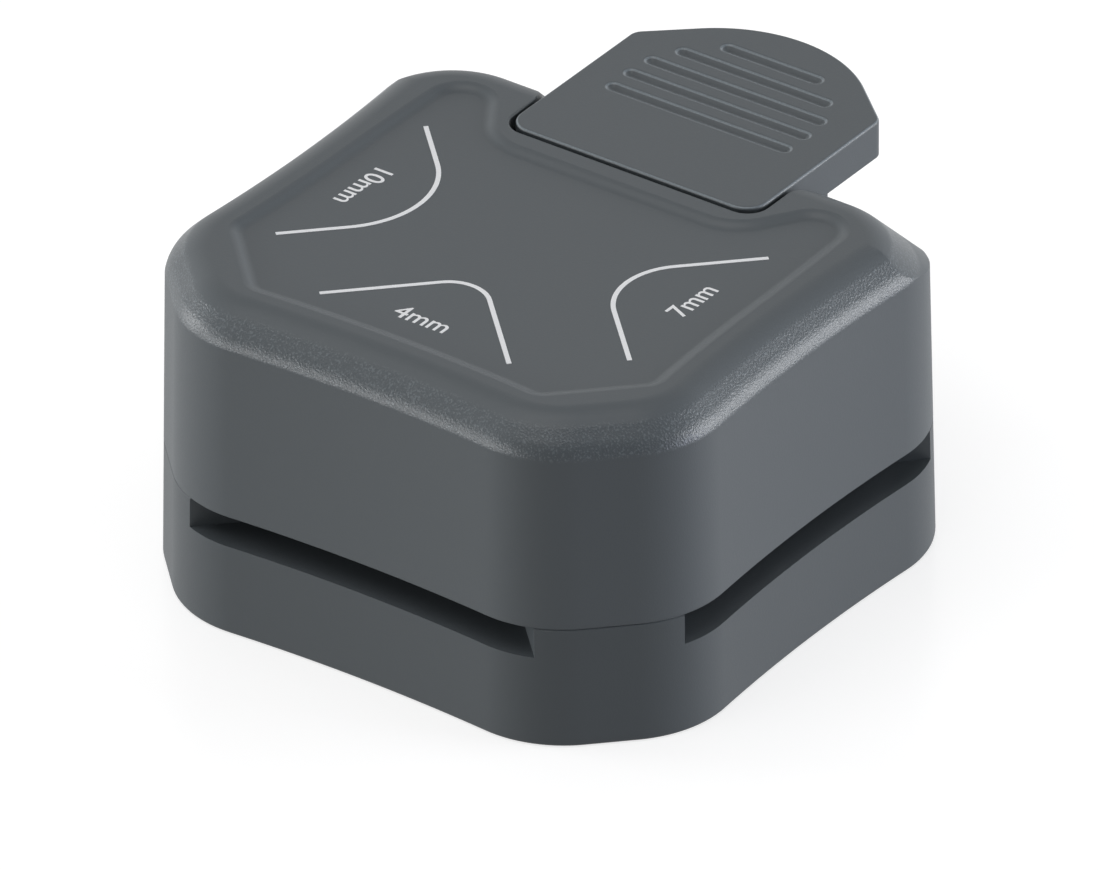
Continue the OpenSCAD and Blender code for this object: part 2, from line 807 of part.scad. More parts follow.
module press_lever() {
    color(charcoal)
        difference() {
            union() {
                tab();
                arm();
                block([-nose_w / 2, -nose_r, nose_z], [nose_w / 2, nose_r, arm_bottom + over]);
                rod(nose_r, -nose_w / 2, nose_w / 2, 0, nose_z);
                rod(hub_r, -arm_w / 2, arm_w / 2, -pivot_y, pivot_z);
                block([-arm_w / 2, -pivot_y - hub_block / 2, pivot_z],
                    [arm_w / 2, -pivot_y + hub_block / 2, arm_bottom + over]);
            }
            pin_space(run_gap);
        }
}

module lever_pin() {
    color(steel)
        pin_space(0);
}

// Cap that holds the pivot pin up in its ear, on the side s
module pin_cap(s) {
    color(dark)
        difference() {
            ear_block(s, pivot_z - cap_h, pivot_z);
            pin_space(seat_gap);
            at_cap_screws(pivot_z - cap_h - over)
                cylinder(d = small_screw_d + 2 * loose_gap, h = cap_h + 2 * over);
        }
}

module pin_cap_left() {
    pin_cap(-1);
}

module pin_cap_right() {
    pin_cap(1);
}

module pin_cap_screws() {
    color(steel)
        at_cap_screws(pivot_z - cap_h)
            rotate([180, 0, 0])
                screw(small_screw_d - 2 * seat_gap, cap_h + cap_thread - screw_room,
                    small_head_d, small_head_h);
}

// Part of the holder over one punch
module holder_wing(name) {
    half = cut_half(name) + holder_wall;
    to_side(name)
        block([-cut_reach(name) - holder_wall, -half, holder_bottom], [0, half, holder_top]);
}

// Copies at the screw of each punch
module at_punch_screws(level) {
    for (name = cutters)
        to_side(name)
            translate([punch_back / 2 - slot_apex - cut_radius(name) * (sqrt(2) - 1) / 2, 0, level])
                children();
}

module punch_holder() {
    bush_edge = bush_r + holder_wall;
    pad_half = pad_w / 2 + seat_gap;
    color(dark)
        difference() {
            union() {
                for (name = cutters)
                    holder_wing(name);
                block([-post_x - bush_edge, -pad_w / 2, holder_bottom],
                    [post_x + bush_edge, post_y + bush_edge, holder_top]);
            }
            for (name = cutters)
                to_side(name)
                    translate([0, 0, holder_bottom - over])
                        linear_extrude(pocket_h + over)
                            punch_plan(name, seat_gap);
            at_punch_screws(holder_bottom)
                cylinder(d = small_screw_d + 2 * loose_gap, h = far);
            at_punch_screws(small_head_z)
                cylinder(d = small_head_d + 2 * loose_gap, h = far);
            translate([0, 0, holder_bottom - over])
                cylinder(r = spring_hole_r, h = spring_pocket + over);
            at_posts()
                cylinder(r = bush_r + seat_gap, h = far);
            block([-pad_half, -pad_half, pad_top - pad_t], [pad_half, pad_half, pad_top]);
        }
}

// Punch with a hollow cutting edge and a thread for its screw
module punch(name) {
    color(tool_steel)
        difference() {
            to_side(name)
                translate([0, 0, punch_tip])
                    linear_extrude(punch_top - punch_tip)
                        punch_plan(name, 0);
            at_punch_screws(punch_top - punch_thread)
                cylinder(d = small_screw_d, h = far);
        }
}

module punch_10mm() {
    punch("left");
}

module punch_7mm() {
    punch("right");
}

module punch_4mm() {
    punch("front");
}

module punch_screws() {
    color(steel)
        at_punch_screws(small_head_z)
            screw(small_screw_d - 2 * seat_gap, small_head_z - punch_top + punch_thread - screw_room,
                small_head_d, small_head_h);
}

module pressure_pad() {
    color(tool_steel)
        block([-pad_w / 2, -pad_w / 2, pad_top - pad_t], [pad_w / 2, pad_w / 2, pad_top]);
}

// Bush pressed into the holder, on the side s
module guide_bush(s) {
    color(bronze)
        translate([s * post_x, post_y, holder_bottom])
            difference() {
                cylinder(r = bush_r, h = holder_h);
                translate([0, 0, -over])
                    cylinder(d = post_d + 2 * run_gap, h = holder_h + 2 * over);
            }
}

module guide_bush_left() {
    guide_bush(-1);
}

module guide_bush_right() {
    guide_bush(1);
}

// Post that guides the holder, on the side s
module guide_post(s) {
    color(steel)
        translate([s * post_x, post_y, boss_hole])
            cylinder(d = post_d, h = holder_top + post_proud - boss_hole);
}

module guide_post_left() {
    guide_post(-1);
}

module guide_post_right() {
    guide_post(1);
}

// Centre line of the spring at turn t, from its seat on the die plate to its pocket
spring_low = die_top + wire_d / 2 + seat_gap;
spring_high = spring_top - wire_d / 2 - seat_gap;
spring_rise = (spring_high - spring_low) / spring_turns;
spring_slope = atan2(spring_rise, 2 * PI * spring_r);

function spring_at(t) = [spring_r * cos(360 * t), spring_r * sin(360 * t), spring_low + spring_rise * t];

// Ring of wire points at turn t
turn_rings = 8;
wire_sides = 6;

function wire_ring(t) = let (out = [cos(360 * t), sin(360 * t), 0],
        lift = [sin(spring_slope) * out.y, -sin(spring_slope) * out.x, cos(spring_slope)])
    [for (j = [0 : wire_sides - 1]) let (a = 360 * j / wire_sides)
        spring_at(t) + wire_d / 2 * (cos(a) * out + sin(a) * lift)];

// Least gap between neighbouring turns, measured on points of the centre line
spring_gap = min([for (k = [-4 : 4]) norm(spring_at(1 + k / 32) - spring_at(0))]) - wire_d;
echo(spring_gap_at_rest = spring_gap, spring_gap_pressed = spring_gap - stroke / spring_turns);

module return_spring() {
    n = wire_sides;
    m = spring_turns * turn_rings;
    points = [for (k = [0 : m]) each wire_ring(k / turn_rings)];
    skin = [for (k = [0 : m - 1]) for (j = [0 : n - 1])
        let (a = k * n + j, b = k * n + (j + 1) % n)
            each [[a, b, a + n], [b, b + n, a + n]]];
    first = [for (j = [1 : n - 2]) [0, j + 1, j]];
    last = [for (j = [1 : n - 2]) m * n * [1, 1, 1] + [0, j, j + 1]];
    color(steel)
        polyhedron(points, concat(skin, first, last));
}

// Holes for the die screws and the guide posts in the three plates
module plate_holes(gap) {
    at_corners(die_screw)
        cylinder(d = die_screw_d + 2 * loose_gap, h = far);
    at_posts()
        cylinder(d = post_d + 2 * gap, h = far);
}

// Openings for the three punches, with the given clearance
module punch_holes(gap) {
    for (name = cutters)
        to_side(name)
            linear_extrude(far)
                punch_plan(name, gap);
}

module stripper_plate() {
    color(tool_steel)
        difference() {
            translate([0, 0, stripper_bottom])
                linear_extrude(stripper_t)
                    union() {
                        octagon(plate_half, plate_diag);
                        for (name = cutters)
                            to_side(name)
                                paper_way(lip_half, loose_gap);
                    }
            plate_holes(loose_gap);
            punch_holes(2 * die_gap);
            cylinder(r = spring_hole_r, h = far);
            at_corners(die_screw)
                translate([0, 0, die_head_z])
                    cylinder(d = die_head_d + 2 * loose_gap, h = far);
        }
}

module paper_guide() {
    color(steel)
        difference() {
            translate([0, 0, die_top])
                linear_extrude(throat)
                    difference() {
                        octagon(plate_half, plate_diag);
                        for (name = cutters)
                            to_side(name)
                                paper_way(far / 2, 0);
                    }
            plate_holes(loose_gap);
            punch_holes(2 * loose_gap);
            cylinder(r = spring_hole_r, h = far);
        }
}

module die_plate() {
    color(tool_steel)
        difference() {
            translate([0, 0, die_bottom])
                linear_extrude(die_t)
                    octagon(plate_half, plate_diag);
            plate_holes(seat_gap);
            punch_holes(die_gap);
        }
}

module die_screws() {
    color(steel)
        at_corners(die_screw)
            translate([0, 0, die_head_z])
                screw(die_screw_d - 2 * seat_gap, die_head_z - boss_hole - screw_room,
                    die_head_d, die_head_h);
}

// Plate of the cover, cut back at the rear to clear the lugs as it swings
module cover_plate() {
    clear_x = lug_in - cover_gap;
    difference() {
        translate([0, 0, cover_gap])
            linear_extrude(cover_t)
                octagon(cover_half, cover_diag);
        for (x = [-far - clear_x, clear_x])
            block([x, hinge_front, -over], [x + far, far, cover_top + over]);
        for (k = [0 : grip_count - 1])
            translate([-grip_l / 2, 2 * tongue_t + k * grip_pitch - cover_half, -over])
                cube([grip_l, grip_w, cover_gap + grip_depth + over]);
    }
}

module waste_cover() {
    color(charcoal)
        difference() {
            union() {
                cover_plate();
                block([-tongue_w / 2, -cover_half, cover_gap],
                    [tongue_w / 2, tongue_t - cover_half, floor_t + tongue_h]);
                for (s = [-1, 1])
                    translate([s * knuckle_x - knuckle_l / 2, 0, 0]) {
                        rod(knuckle_r, 0, knuckle_l, hinge_y, hinge_z);
                        block([0, hinge_front - over, cover_gap], [knuckle_l, hinge_y, cover_top]);
                    }
            }
            hinge_pin_space(run_gap);
        }
}

module cover_hinge_pin() {
    color(steel)
        hinge_pin_space(0);
}

module housing_screws() {
    color(steel)
        at_corners(corner_screw)
            translate([0, 0, counterbore_h])
                rotate([180, 0, 0])
                    screw(corner_screw_d - 2 * seat_gap, corner_screw_l, corner_head_d, corner_head_h);
}

upper_housing();
base_housing();
press_lever();
lever_pin();
pin_cap_left();
pin_cap_right();
pin_cap_screws();
punch_holder();
punch_10mm();
punch_7mm();
punch_4mm();
punch_screws();
pressure_pad();
guide_bush_left();
guide_bush_right();
guide_post_left();
guide_post_right();
return_spring();
stripper_plate();
paper_guide();
die_plate();
die_screws();
waste_cover();
cover_hinge_pin();
housing_screws();
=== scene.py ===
"""Corner punch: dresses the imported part, prints its size legends and sets the photograph's view."""

import functools
import logging
import math
import operator
from collections.abc import Iterable, Mapping, Sequence
from dataclasses import dataclass
from enum import Enum
from typing import Any, ClassVar

import bmesh
import bpy
from bmesh.types import BMEdge, BMesh, BMFace, BMVert
from mathutils import Matrix, Vector


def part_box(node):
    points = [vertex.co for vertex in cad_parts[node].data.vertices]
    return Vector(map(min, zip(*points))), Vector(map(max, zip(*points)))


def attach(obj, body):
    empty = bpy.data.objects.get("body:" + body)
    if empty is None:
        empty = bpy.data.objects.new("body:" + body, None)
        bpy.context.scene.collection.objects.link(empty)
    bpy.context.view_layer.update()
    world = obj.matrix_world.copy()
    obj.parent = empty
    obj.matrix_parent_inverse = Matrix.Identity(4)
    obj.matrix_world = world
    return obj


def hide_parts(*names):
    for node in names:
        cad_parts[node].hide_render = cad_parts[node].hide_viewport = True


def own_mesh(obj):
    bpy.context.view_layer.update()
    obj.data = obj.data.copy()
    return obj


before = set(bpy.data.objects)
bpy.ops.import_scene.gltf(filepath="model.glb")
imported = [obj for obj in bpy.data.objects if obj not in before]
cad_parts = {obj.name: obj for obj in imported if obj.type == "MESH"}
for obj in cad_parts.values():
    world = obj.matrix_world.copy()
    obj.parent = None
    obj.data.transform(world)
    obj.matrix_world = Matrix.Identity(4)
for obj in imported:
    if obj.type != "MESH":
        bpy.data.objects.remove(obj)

MM = 0.001  # metres in a millimetre
FAR = 100.0  # millimetres that reach past the whole part
OVER = 1.0  # millimetres that a cut goes past what it cuts
BEND = 0.01  # radius of a sharp bend, and the offset of faces that would coincide
CLOSE = 0.01  # distance at which the ends of an outline are one point
WELD = 1e-4  # distance at which vertices are one
SHARP_ANGLE = 32.0  # degrees from which an edge is shaded as sharp
ROD_SIDES = 64
MIX_COLOURS = (6, 7)  # inputs of a Mix node that take colours
MIX_RESULT = 2  # its output that gives a colour
ALONG_X = Matrix(((0, 0, 1, 0), (1, 0, 0, 0), (0, 1, 0, 0), (0, 0, 0, 1)))  # turns Z to X
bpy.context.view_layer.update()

log = logging.getLogger("corner_punch")

Pair = tuple[float, float]
Triple = tuple[float, float, float]


def span(node: str) -> tuple[Vector, Vector]:
    """Gives a CAD node's box at rest in millimetres.

    Args:
        node: Name of the CAD node.

    Returns:
        The lowest and the highest corner.
    """
    low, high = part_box(node)
    return low / MM, high / MM


def axle(node: str) -> Pair:
    """Place in Y and Z of a pin that lies along X."""
    low, high = span(node)
    return (low.y + high.y) / 2, (low.z + high.z) / 2


def place_object(name: str, data: bpy.types.ID) -> bpy.types.Object:
    """Adds an object to the scene.

    Args:
        name: Name of the object.
        data: Its mesh, text, lamp or camera.

    Returns:
        The object.
    """
    obj = bpy.data.objects.new(name, data)
    bpy.context.scene.collection.objects.link(obj)
    return obj


def evaluated(obj: bpy.types.Object) -> bpy.types.Mesh:
    """Shape of an object as a new mesh, with its modifiers applied."""
    depsgraph = bpy.context.evaluated_depsgraph_get()
    return bpy.data.meshes.new_from_object(obj.evaluated_get(depsgraph))


def used_up(bm: BMesh, name: str) -> bpy.types.Mesh:
    """Turns a bmesh into a mesh.

    Args:
        bm: Bmesh, which is freed.
        name: Name of the mesh.

    Returns:
        The mesh.
    """
    mesh = bpy.data.meshes.new(name)
    bm.to_mesh(mesh)
    bm.free()
    return mesh


def thicken(bm: BMesh, faces: Sequence[BMFace], rise: float) -> None:
    """Draws flat faces up into solids.

    Args:
        bm: Bmesh that holds the faces.
        faces: Faces to draw up.
        rise: Thickness.
    """
    made = bmesh.ops.extrude_face_region(bm, geom=faces, use_keep_orig=True)["geom"]
    verts = [item for item in made if isinstance(item, BMVert)]
    bmesh.ops.translate(bm, verts=verts, vec=(0, 0, rise))


def linear(red: int, green: int, blue: int) -> Triple:
    """Turns a screen colour of 0 to 255 into the linear colour that a shader reads.

    Args:
        red: Red part.
        green: Green part.
        blue: Blue part.

    Returns:
        The linear colour.
    """
    parts = [part / 255 for part in (red, green, blue)]
    return tuple(
        part / 12.92 if part <= 0.04045 else ((part + 0.055) / 1.055) ** 2.4 for part in parts
    )


class Signal:
    """Shader socket that takes part in Python expressions."""

    def __init__(self, graph: "Graph", socket: bpy.types.NodeSocket) -> None:
        """Keeps the socket with the graph that it belongs to."""
        self.graph = graph
        self.socket = socket

    def _math(self, operation: str, *terms: "Signal | float") -> "Signal":
        """Adds a Math node.

        Args:
            operation: Operation of the node.
            terms: Values or signals that it works on.

        Returns:
            The node's value.
        """
        return self.graph.node("ShaderNodeMath", {"operation": operation}, dict(enumerate(terms)))

    def __add__(self, other: "Signal | float") -> "Signal":
        """Sum."""
        return self._math("ADD", self, other)

    def __radd__(self, other: float) -> "Signal":
        """Sum with a number in front."""
        return self._math("ADD", other, self)

    def __sub__(self, other: "Signal | float") -> "Signal":
        """Difference."""
        return self._math("SUBTRACT", self, other)

    def __rsub__(self, other: float) -> "Signal":
        """Difference from a number."""
        return self._math("SUBTRACT", other, self)

    def __mul__(self, other: "Signal | float") -> "Signal":
        """Product."""
        return self._math("MULTIPLY", self, other)

    def __rmul__(self, other: float) -> "Signal":
        """Product with a number in front."""
        return self._math("MULTIPLY", other, self)

    def ramp(self, low: float, high: float) -> "Signal":
        """Rises smoothly from 0 at low to 1 at high.

        Args:
            low: Value that gives 0.
            high: Value that gives 1.

        Returns:
            The ramp as a signal.
        """
        return self.graph.node("ShaderNodeMapRange", {"interpolation_type": "SMOOTHSTEP"},
                               {"Value": self, "From Min": low, "From Max": high})


class Graph:
    """Node tree of one material or world, with one way to add nodes."""

    def __init__(self, tree: bpy.types.NodeTree) -> None:
        """Empties the tree."""
        self.tree = tree
        tree.nodes.clear()

    def node(self, kind: str, settings: Mapping[str, Any], sockets: Mapping[str | int, Any],
             output: str | int = 0) -> Signal:
        """Adds a node.

        Args:
            kind: Type of the node.
            settings: Attributes that are set before the sockets.
            sockets: Values, or signals to link, by input name or number.
            output: Name or number of the output to give back.

        Returns:
            The output as a signal.
        """
        made = self.tree.nodes.new(kind)
        for name, value in settings.items():
            setattr(made, name, value)
        for name, value in sockets.items():
            if isinstance(value, Signal):
                self.tree.links.new(value.socket, made.inputs[name])
            else:
                made.inputs[name].default_value = value
        return Signal(self, made.outputs[output]) if made.outputs else Signal(self, made.inputs[0])

    def place(self) -> Signal:
        """Place on the piece, in metres of the shared frame."""
        return self.node("ShaderNodeTexCoord", {}, {}, "Object")

    def height(self) -> Signal:
        """Height on the piece in millimetres."""
        return self.node("ShaderNodeSeparateXYZ", {}, {"Vector": self.place()}, "Z") * (1 / MM)

    def noise(self, grain: float, detail: float = 2.0, stretch: Triple = (1.0, 1.0, 1.0)) -> Signal:
        """Adds noise on the piece's own place.

        Args:
            grain: Size of a grain in millimetres.
            detail: Number of finer layers.
            stretch: Scale of the pattern along each axis.

        Returns:
            Noise round 0.5.
        """
        place = self.node("ShaderNodeVectorMath", {"operation": "MULTIPLY"},
                          {0: self.place(), 1: stretch})
        return self.node("ShaderNodeTexNoise", {},
                         {"Vector": place, "Scale": 1 / (grain * MM), "Detail": detail})

    def blend(self, factor: Signal, low: Any, high: Any) -> Signal:
        """Mixes two colours.

        Args:
            factor: Share of the second colour.
            low: First colour, as a value or a signal.
            high: Second colour, as a value or a signal.

        Returns:
            The mixed colour.
        """
        colours = [(*c, 1.0) if isinstance(c, tuple) else c for c in (low, high)]
        return self.node("ShaderNodeMix", {"data_type": "RGBA"},
                         {0: factor, **dict(zip(MIX_COLOURS, colours))}, MIX_RESULT)

    def bump(self, height: Signal, depth: float) -> Signal:
        """Adds a bump.

        Args:
            height: Height from 0 to 1.
            depth: Depth of the full height in millimetres.

        Returns:
            The bent normal.
        """
        return self.node("ShaderNodeBump", {},
                         {"Height": height, "Distance": depth * MM, "Strength": 1.0})


def surface(name: str) -> tuple[bpy.types.Material, Graph]:
    """Starts a material.

    Args:
        name: Name of the material.

    Returns:
        The material and its empty graph.
    """
    material = bpy.data.materials.new(name)
    material.use_nodes = True
    return material, Graph(material.node_tree)


@dataclass(frozen=True)
class Finish:
    """Finish of a surface, with lengths in millimetres and shares between 0 and 1."""

    name: str
    colour: Triple

    def tint(self, share: float) -> Triple:
        """The colour made darker or paler."""
        return tuple(min(1.0, part * share) for part in self.colour)

    def sockets(self, graph: Graph) -> dict[str, Any]:
        """Values and signals of the Principled surface."""
        raise NotImplementedError

    def material(self) -> bpy.types.Material:
        """Builds the material.

        Returns:
            The finished material.
        """
        material, graph = surface(self.name)
        shade = graph.node("ShaderNodeBsdfPrincipled", {}, self.sockets(graph))
        graph.node("ShaderNodeOutputMaterial", {}, {"Surface": shade})
        return material


@dataclass(frozen=True)
class GrainedPlastic(Finish):
    """Moulded plastic with a fine spark grain, and at some heights a band of coarser grain with
    painted glints and a painted highlight.
    """

    roughness: float = 0.46
    grain: float = 0.16
    depth: float = 0.012
    band: Pair = (-2.0, -1.0)
    band_grain: float = 0.2
    band_depth: float = 0.05
    band_fade: float = 0.5
    band_gloss: float = 0.1
    painted_glints: float = 0.8
    painted_highlight: float = 0.0
    pale: float = 1.7
    glint_fleck: Pair = (0.5, 0.7)
    fine_fleck: Pair = (0.55, 0.8)
    fine_speckle: float = 0.1
    uneven: float = 0.15

    def sockets(self, graph: Graph) -> dict[str, Any]:
        """Works out the surface.

        Args:
            graph: Graph of the material.

        Returns:
            Values and signals of the Principled surface.
        """
        level = graph.height()
        low, high = self.band
        band = level.ramp(low, low + self.band_fade) - level.ramp(high - self.band_fade, high)
        fine = graph.noise(self.grain)
        coarse = graph.noise(self.band_grain, detail=1.0)
        relief = fine * (self.depth / self.band_depth) + coarse * band
        # In the band, the pale flecks are painted glints and the even pale share is a painted
        # highlight; the fine flecks everywhere are the plastic's own grain.
        flecks_and_painted_light = coarse.ramp(*self.glint_fleck) * band * self.painted_glints
        flecks_and_painted_light = flecks_and_painted_light + fine.ramp(*self.fine_fleck) * self.fine_speckle + band * self.painted_highlight
        return {
            "Base Color": graph.blend(flecks_and_painted_light, self.colour, self.tint(self.pale)),
            "Roughness": self.roughness + (fine - 0.5) * self.uneven - band * self.band_gloss,
            "Normal": graph.bump(relief, self.band_depth),
        }


@dataclass(frozen=True)
class Metal(Finish):
    """Bare or plated metal with fine marks along one axis."""

    roughness: float = 0.3
    grain: float = 0.25
    stretch: Triple = (1.0, 1.0, 1.0)
    detail: float = 3.0
    depth: float = 0.004
    dull: float = 0.78
    uneven: float = 0.25

    def sockets(self, graph: Graph) -> dict[str, Any]:
        """Works out the surface.

        Args:
            graph: Graph of the material.

        Returns:
            Values and signals of the Principled surface.
        """
        marks = graph.noise(self.grain, self.detail, self.stretch)
        return {
            "Base Color": graph.blend(marks, self.tint(self.dull), self.colour),
            "Metallic": 1.0,
            "Roughness": self.roughness + (marks - 0.5) * self.uneven,
            "Normal": graph.bump(marks, self.depth),
        }


@dataclass(frozen=True)
class PrintInk(Finish):
    """Thin opaque printing ink."""

    roughness: float = 0.55
    grain: float = 0.12
    cover: Pair = (0.25, 0.5)
    thin: float = 0.93

    def sockets(self, graph: Graph) -> dict[str, Any]:
        """Works out the surface.

        Args:
            graph: Graph of the material.

        Returns:
            Values and signals of the Principled surface.
        """
        cover = graph.noise(self.grain).ramp(*self.cover)
        return {
            "Base Color": graph.blend(cover, self.tint(self.thin), self.colour),
            "Roughness": self.roughness,
        }


@dataclass(frozen=True)
class Run:
    """Straight stretch of an outline, as a length."""

    length: float


@dataclass(frozen=True)
class Turn:
    """Round stretch of an outline: a radius, and a sweep in degrees, positive to the left."""

    radius: float
    sweep: float
    steps: int = 8


@dataclass(frozen=True)
class Outline:
    """Closed outline in a plane, walked with its inside on the left.

    An inset moves a loop to the inside, where every change of heading is a Turn.
    """

    start: Pair
    heading: float
    moves: tuple[Run | Turn, ...]

    def loop(self, bm: BMesh, inset: float = 0.0, level: float = 0.0) -> list[BMEdge]:
        """Draws the outline as a loop of edges.

        Args:
            bm: Mesh to draw in.
            inset: Distance that the loop lies inside the outline.
            level: Height of the loop.

        Returns:
            The loop's edges.
        """
        known = set(bm.edges)
        angle = math.radians(self.heading)
        left = Vector((-math.sin(angle), math.cos(angle), 0))
        first = bm.verts.new(Vector((*self.start, level)) + left * inset)
        tip = first
        for move in self.moves:
            left = Vector((-math.sin(angle), math.cos(angle), 0))
            if isinstance(move, Run):
                tip = bmesh.ops.extrude_vert_indiv(bm, verts=[tip])["verts"][0]
                ahead = Vector((math.cos(angle), math.sin(angle), 0))
                bmesh.ops.translate(bm, verts=[tip], vec=ahead * move.length)
                continue
            side = math.copysign(1, move.sweep)
            centre = tip.co + left * side * (move.radius - side * inset)
            sweep = math.radians(move.sweep)
            turned = bmesh.ops.spin(bm, geom=[tip], cent=centre, axis=(0, 0, 1), angle=sweep,
                                    steps=move.steps)
            tip = turned["geom_last"][0]
            angle += sweep
        if (tip.co - first.co).length < CLOSE:
            bmesh.ops.weld_verts(bm, targetmap={tip: first})
        else:
            bmesh.ops.contextual_create(bm, geom=[tip, first])
        return [edge for edge in bm.edges if edge not in known]


class Solid:
    """Closed mesh in millimetres that others can be joined to and cut from."""

    def __init__(self, mesh: bpy.types.Mesh) -> None:
        """Keeps the mesh."""
        self.mesh = mesh

    @classmethod
    def from_bmesh(cls, bm: BMesh) -> "Solid":
        """Closes a bmesh into a solid.

        Args:
            bm: Mesh that is used up.

        Returns:
            The solid.
        """
        bmesh.ops.recalc_face_normals(bm, faces=bm.faces)
        return cls(used_up(bm, "solid"))

    @staticmethod
    def union(parts: Iterable["Solid"]) -> "Solid":
        """All the parts as one solid."""
        return functools.reduce(operator.add, parts)

    @classmethod
    def loft(cls, outline: Outline, levels: Sequence[Pair]) -> "Solid":
        """Bridges copies of an outline at several levels.

        Args:
            outline: Outline to stack.
            levels: Inset and height of each copy, from the bottom.

        Returns:
            The solid.
        """
        bm = bmesh.new()
        loops = [outline.loop(bm, inset, height) for inset, height in levels]
        for low, high in zip(loops, loops[1:]):
            bmesh.ops.bridge_loops(bm, edges=low + high)
        for end in (loops[0], loops[-1]):
            bmesh.ops.contextual_create(bm, geom=end)
        return cls.from_bmesh(bm)

    @classmethod
    def prism(cls, outline: Outline, low: float, high: float,
              turn: Matrix | None = None) -> "Solid":
        """Extrudes an outline.

        Args:
            outline: Outline to extrude.
            low: Height of the lower face.
            high: Height of the upper face.
            turn: Turn of the finished prism, or none.

        Returns:
            The solid.
        """
        bm = bmesh.new()
        edges = outline.loop(bm, level=low)
        thicken(bm, bmesh.ops.contextual_create(bm, geom=edges)["faces"], high - low)
        if turn:
            bmesh.ops.transform(bm, matrix=turn, verts=bm.verts)
        return cls.from_bmesh(bm)

    @classmethod
    def blocks(cls, *corners: tuple[Sequence[float], Sequence[float]]) -> "Solid":
        """Makes blocks that don't touch each other.

        Args:
            corners: Lowest and highest corner of each block.

        Returns:
            The blocks as one solid.
        """
        bm = bmesh.new()
        for low, high in corners:
            size = Vector(high) - Vector(low)
            middle = (Vector(high) + Vector(low)) / 2
            matrix = Matrix.Translation(middle) @ Matrix.Diagonal((*size, 1))
            bmesh.ops.create_cube(bm, size=1, matrix=matrix)
        return cls.from_bmesh(bm)

    @classmethod
    def rods(cls, radius: float, low: float, high: float, places: Iterable[Sequence[float]],
             along_x: bool = False) -> "Solid":
        """Makes round rods that don't touch each other.

        Args:
            radius: Radius of the rods.
            low: Place of the lower ends.
            high: Place of the upper ends.
            places: Where each rod's axis crosses the plane across it.
            along_x: Whether the rods lie along X, with places in Y and Z, and not along Z.

        Returns:
            The rods as one solid.
        """
        bm = bmesh.new()
        for u, v in places:
            matrix = Matrix.Translation((u, v, (low + high) / 2))
            bmesh.ops.create_cone(bm, cap_ends=True, segments=ROD_SIDES, radius1=radius,
                                  radius2=radius, depth=high - low, matrix=matrix)
        if along_x:
            bmesh.ops.transform(bm, matrix=ALONG_X, verts=bm.verts)
        return cls.from_bmesh(bm)

    def __add__(self, other: "Solid") -> "Solid":
        """Both solids as one."""
        return self._combine(other, "UNION")

    def __sub__(self, other: "Solid") -> "Solid":
        """This solid without the other."""
        return self._combine(other, "DIFFERENCE")

    def _combine(self, other: "Solid", operation: str) -> "Solid":
        """Joins or cuts with a Boolean modifier.

        Args:
            other: Second solid.
            operation: UNION or DIFFERENCE.

        Returns:
            The new solid.
        """
        work, tool = place_object("work", self.mesh), place_object("tool", other.mesh)
        modifier = work.modifiers.new("combine", "BOOLEAN")
        modifier.operation = operation
        modifier.solver = "EXACT"
        modifier.object = tool
        mesh = evaluated(work)
        for obj in (work, tool):
            bpy.data.objects.remove(obj)
        return Solid(mesh)

    def turned(self, turn: Matrix) -> "Solid":
        """Turns the solid.

        Args:
            turn: Turn about the origin.

        Returns:
            The solid itself.
        """
        self.mesh.transform(turn)
        return self

    def piece(self, name: str, material: bpy.types.Material) -> bpy.types.Object:
        """Turns the solid into a finished piece in metres.

        Args:
            name: Name of the piece.
            material: Its finish.

        Returns:
            The piece.
        """
        bm = bmesh.new()
        bm.from_mesh(self.mesh)
        bmesh.ops.remove_doubles(bm, verts=bm.verts, dist=WELD)
        bmesh.ops.dissolve_degenerate(bm, edges=bm.edges, dist=WELD)
        bmesh.ops.scale(bm, vec=(MM, MM, MM), verts=bm.verts)
        for face in bm.faces:
            face.smooth = True
        mesh = used_up(bm, name)
        mesh.set_sharp_from_angle(angle=math.radians(SHARP_ANGLE))
        mesh.materials.clear()
        mesh.materials.append(material)
        obj = place_object(name, mesh)
        weigh = obj.modifiers.new("flat_faces_first", "WEIGHTED_NORMAL")
        weigh.keep_sharp = True
        return obj


class DressedNode:
    """Modelled piece that stands for a CAD node and rides its body."""

    piece_name: ClassVar[str]
    node_name: ClassVar[str]
    body_name: ClassVar[str] = "frame"
    slot_name: ClassVar[str] = "charcoal_abs"

    def build(self) -> Solid:
        """Models the piece as a solid."""
        raise NotImplementedError

    def dress(self, finish: bpy.types.Material) -> bpy.types.Object:
        """Makes the finished piece.

        Args:
            finish: Its finish.

        Returns:
            The piece.
        """
        piece = self.build().piece(self.piece_name, finish)
        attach(piece, self.body_name)
        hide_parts(self.node_name)
        return piece


def corners(place: float) -> list[Pair]:
    """The four places at that distance along both axes."""
    return [(x, y) for x in (-place, place) for y in (-place, place)]


class Side(Enum):
    """Paper slots by the side that each lies on, with the turn from the left side in degrees."""

    LEFT = 0
    FRONT = 90
    RIGHT = 180

    @property
    def turn(self) -> Matrix:
        """Turn from the left side to this one."""
        return Matrix.Rotation(math.radians(self.value), 4, "Z")


CUT_RADIUS = {Side.LEFT: 10.0, Side.FRONT: 4.0, Side.RIGHT: 7.0}


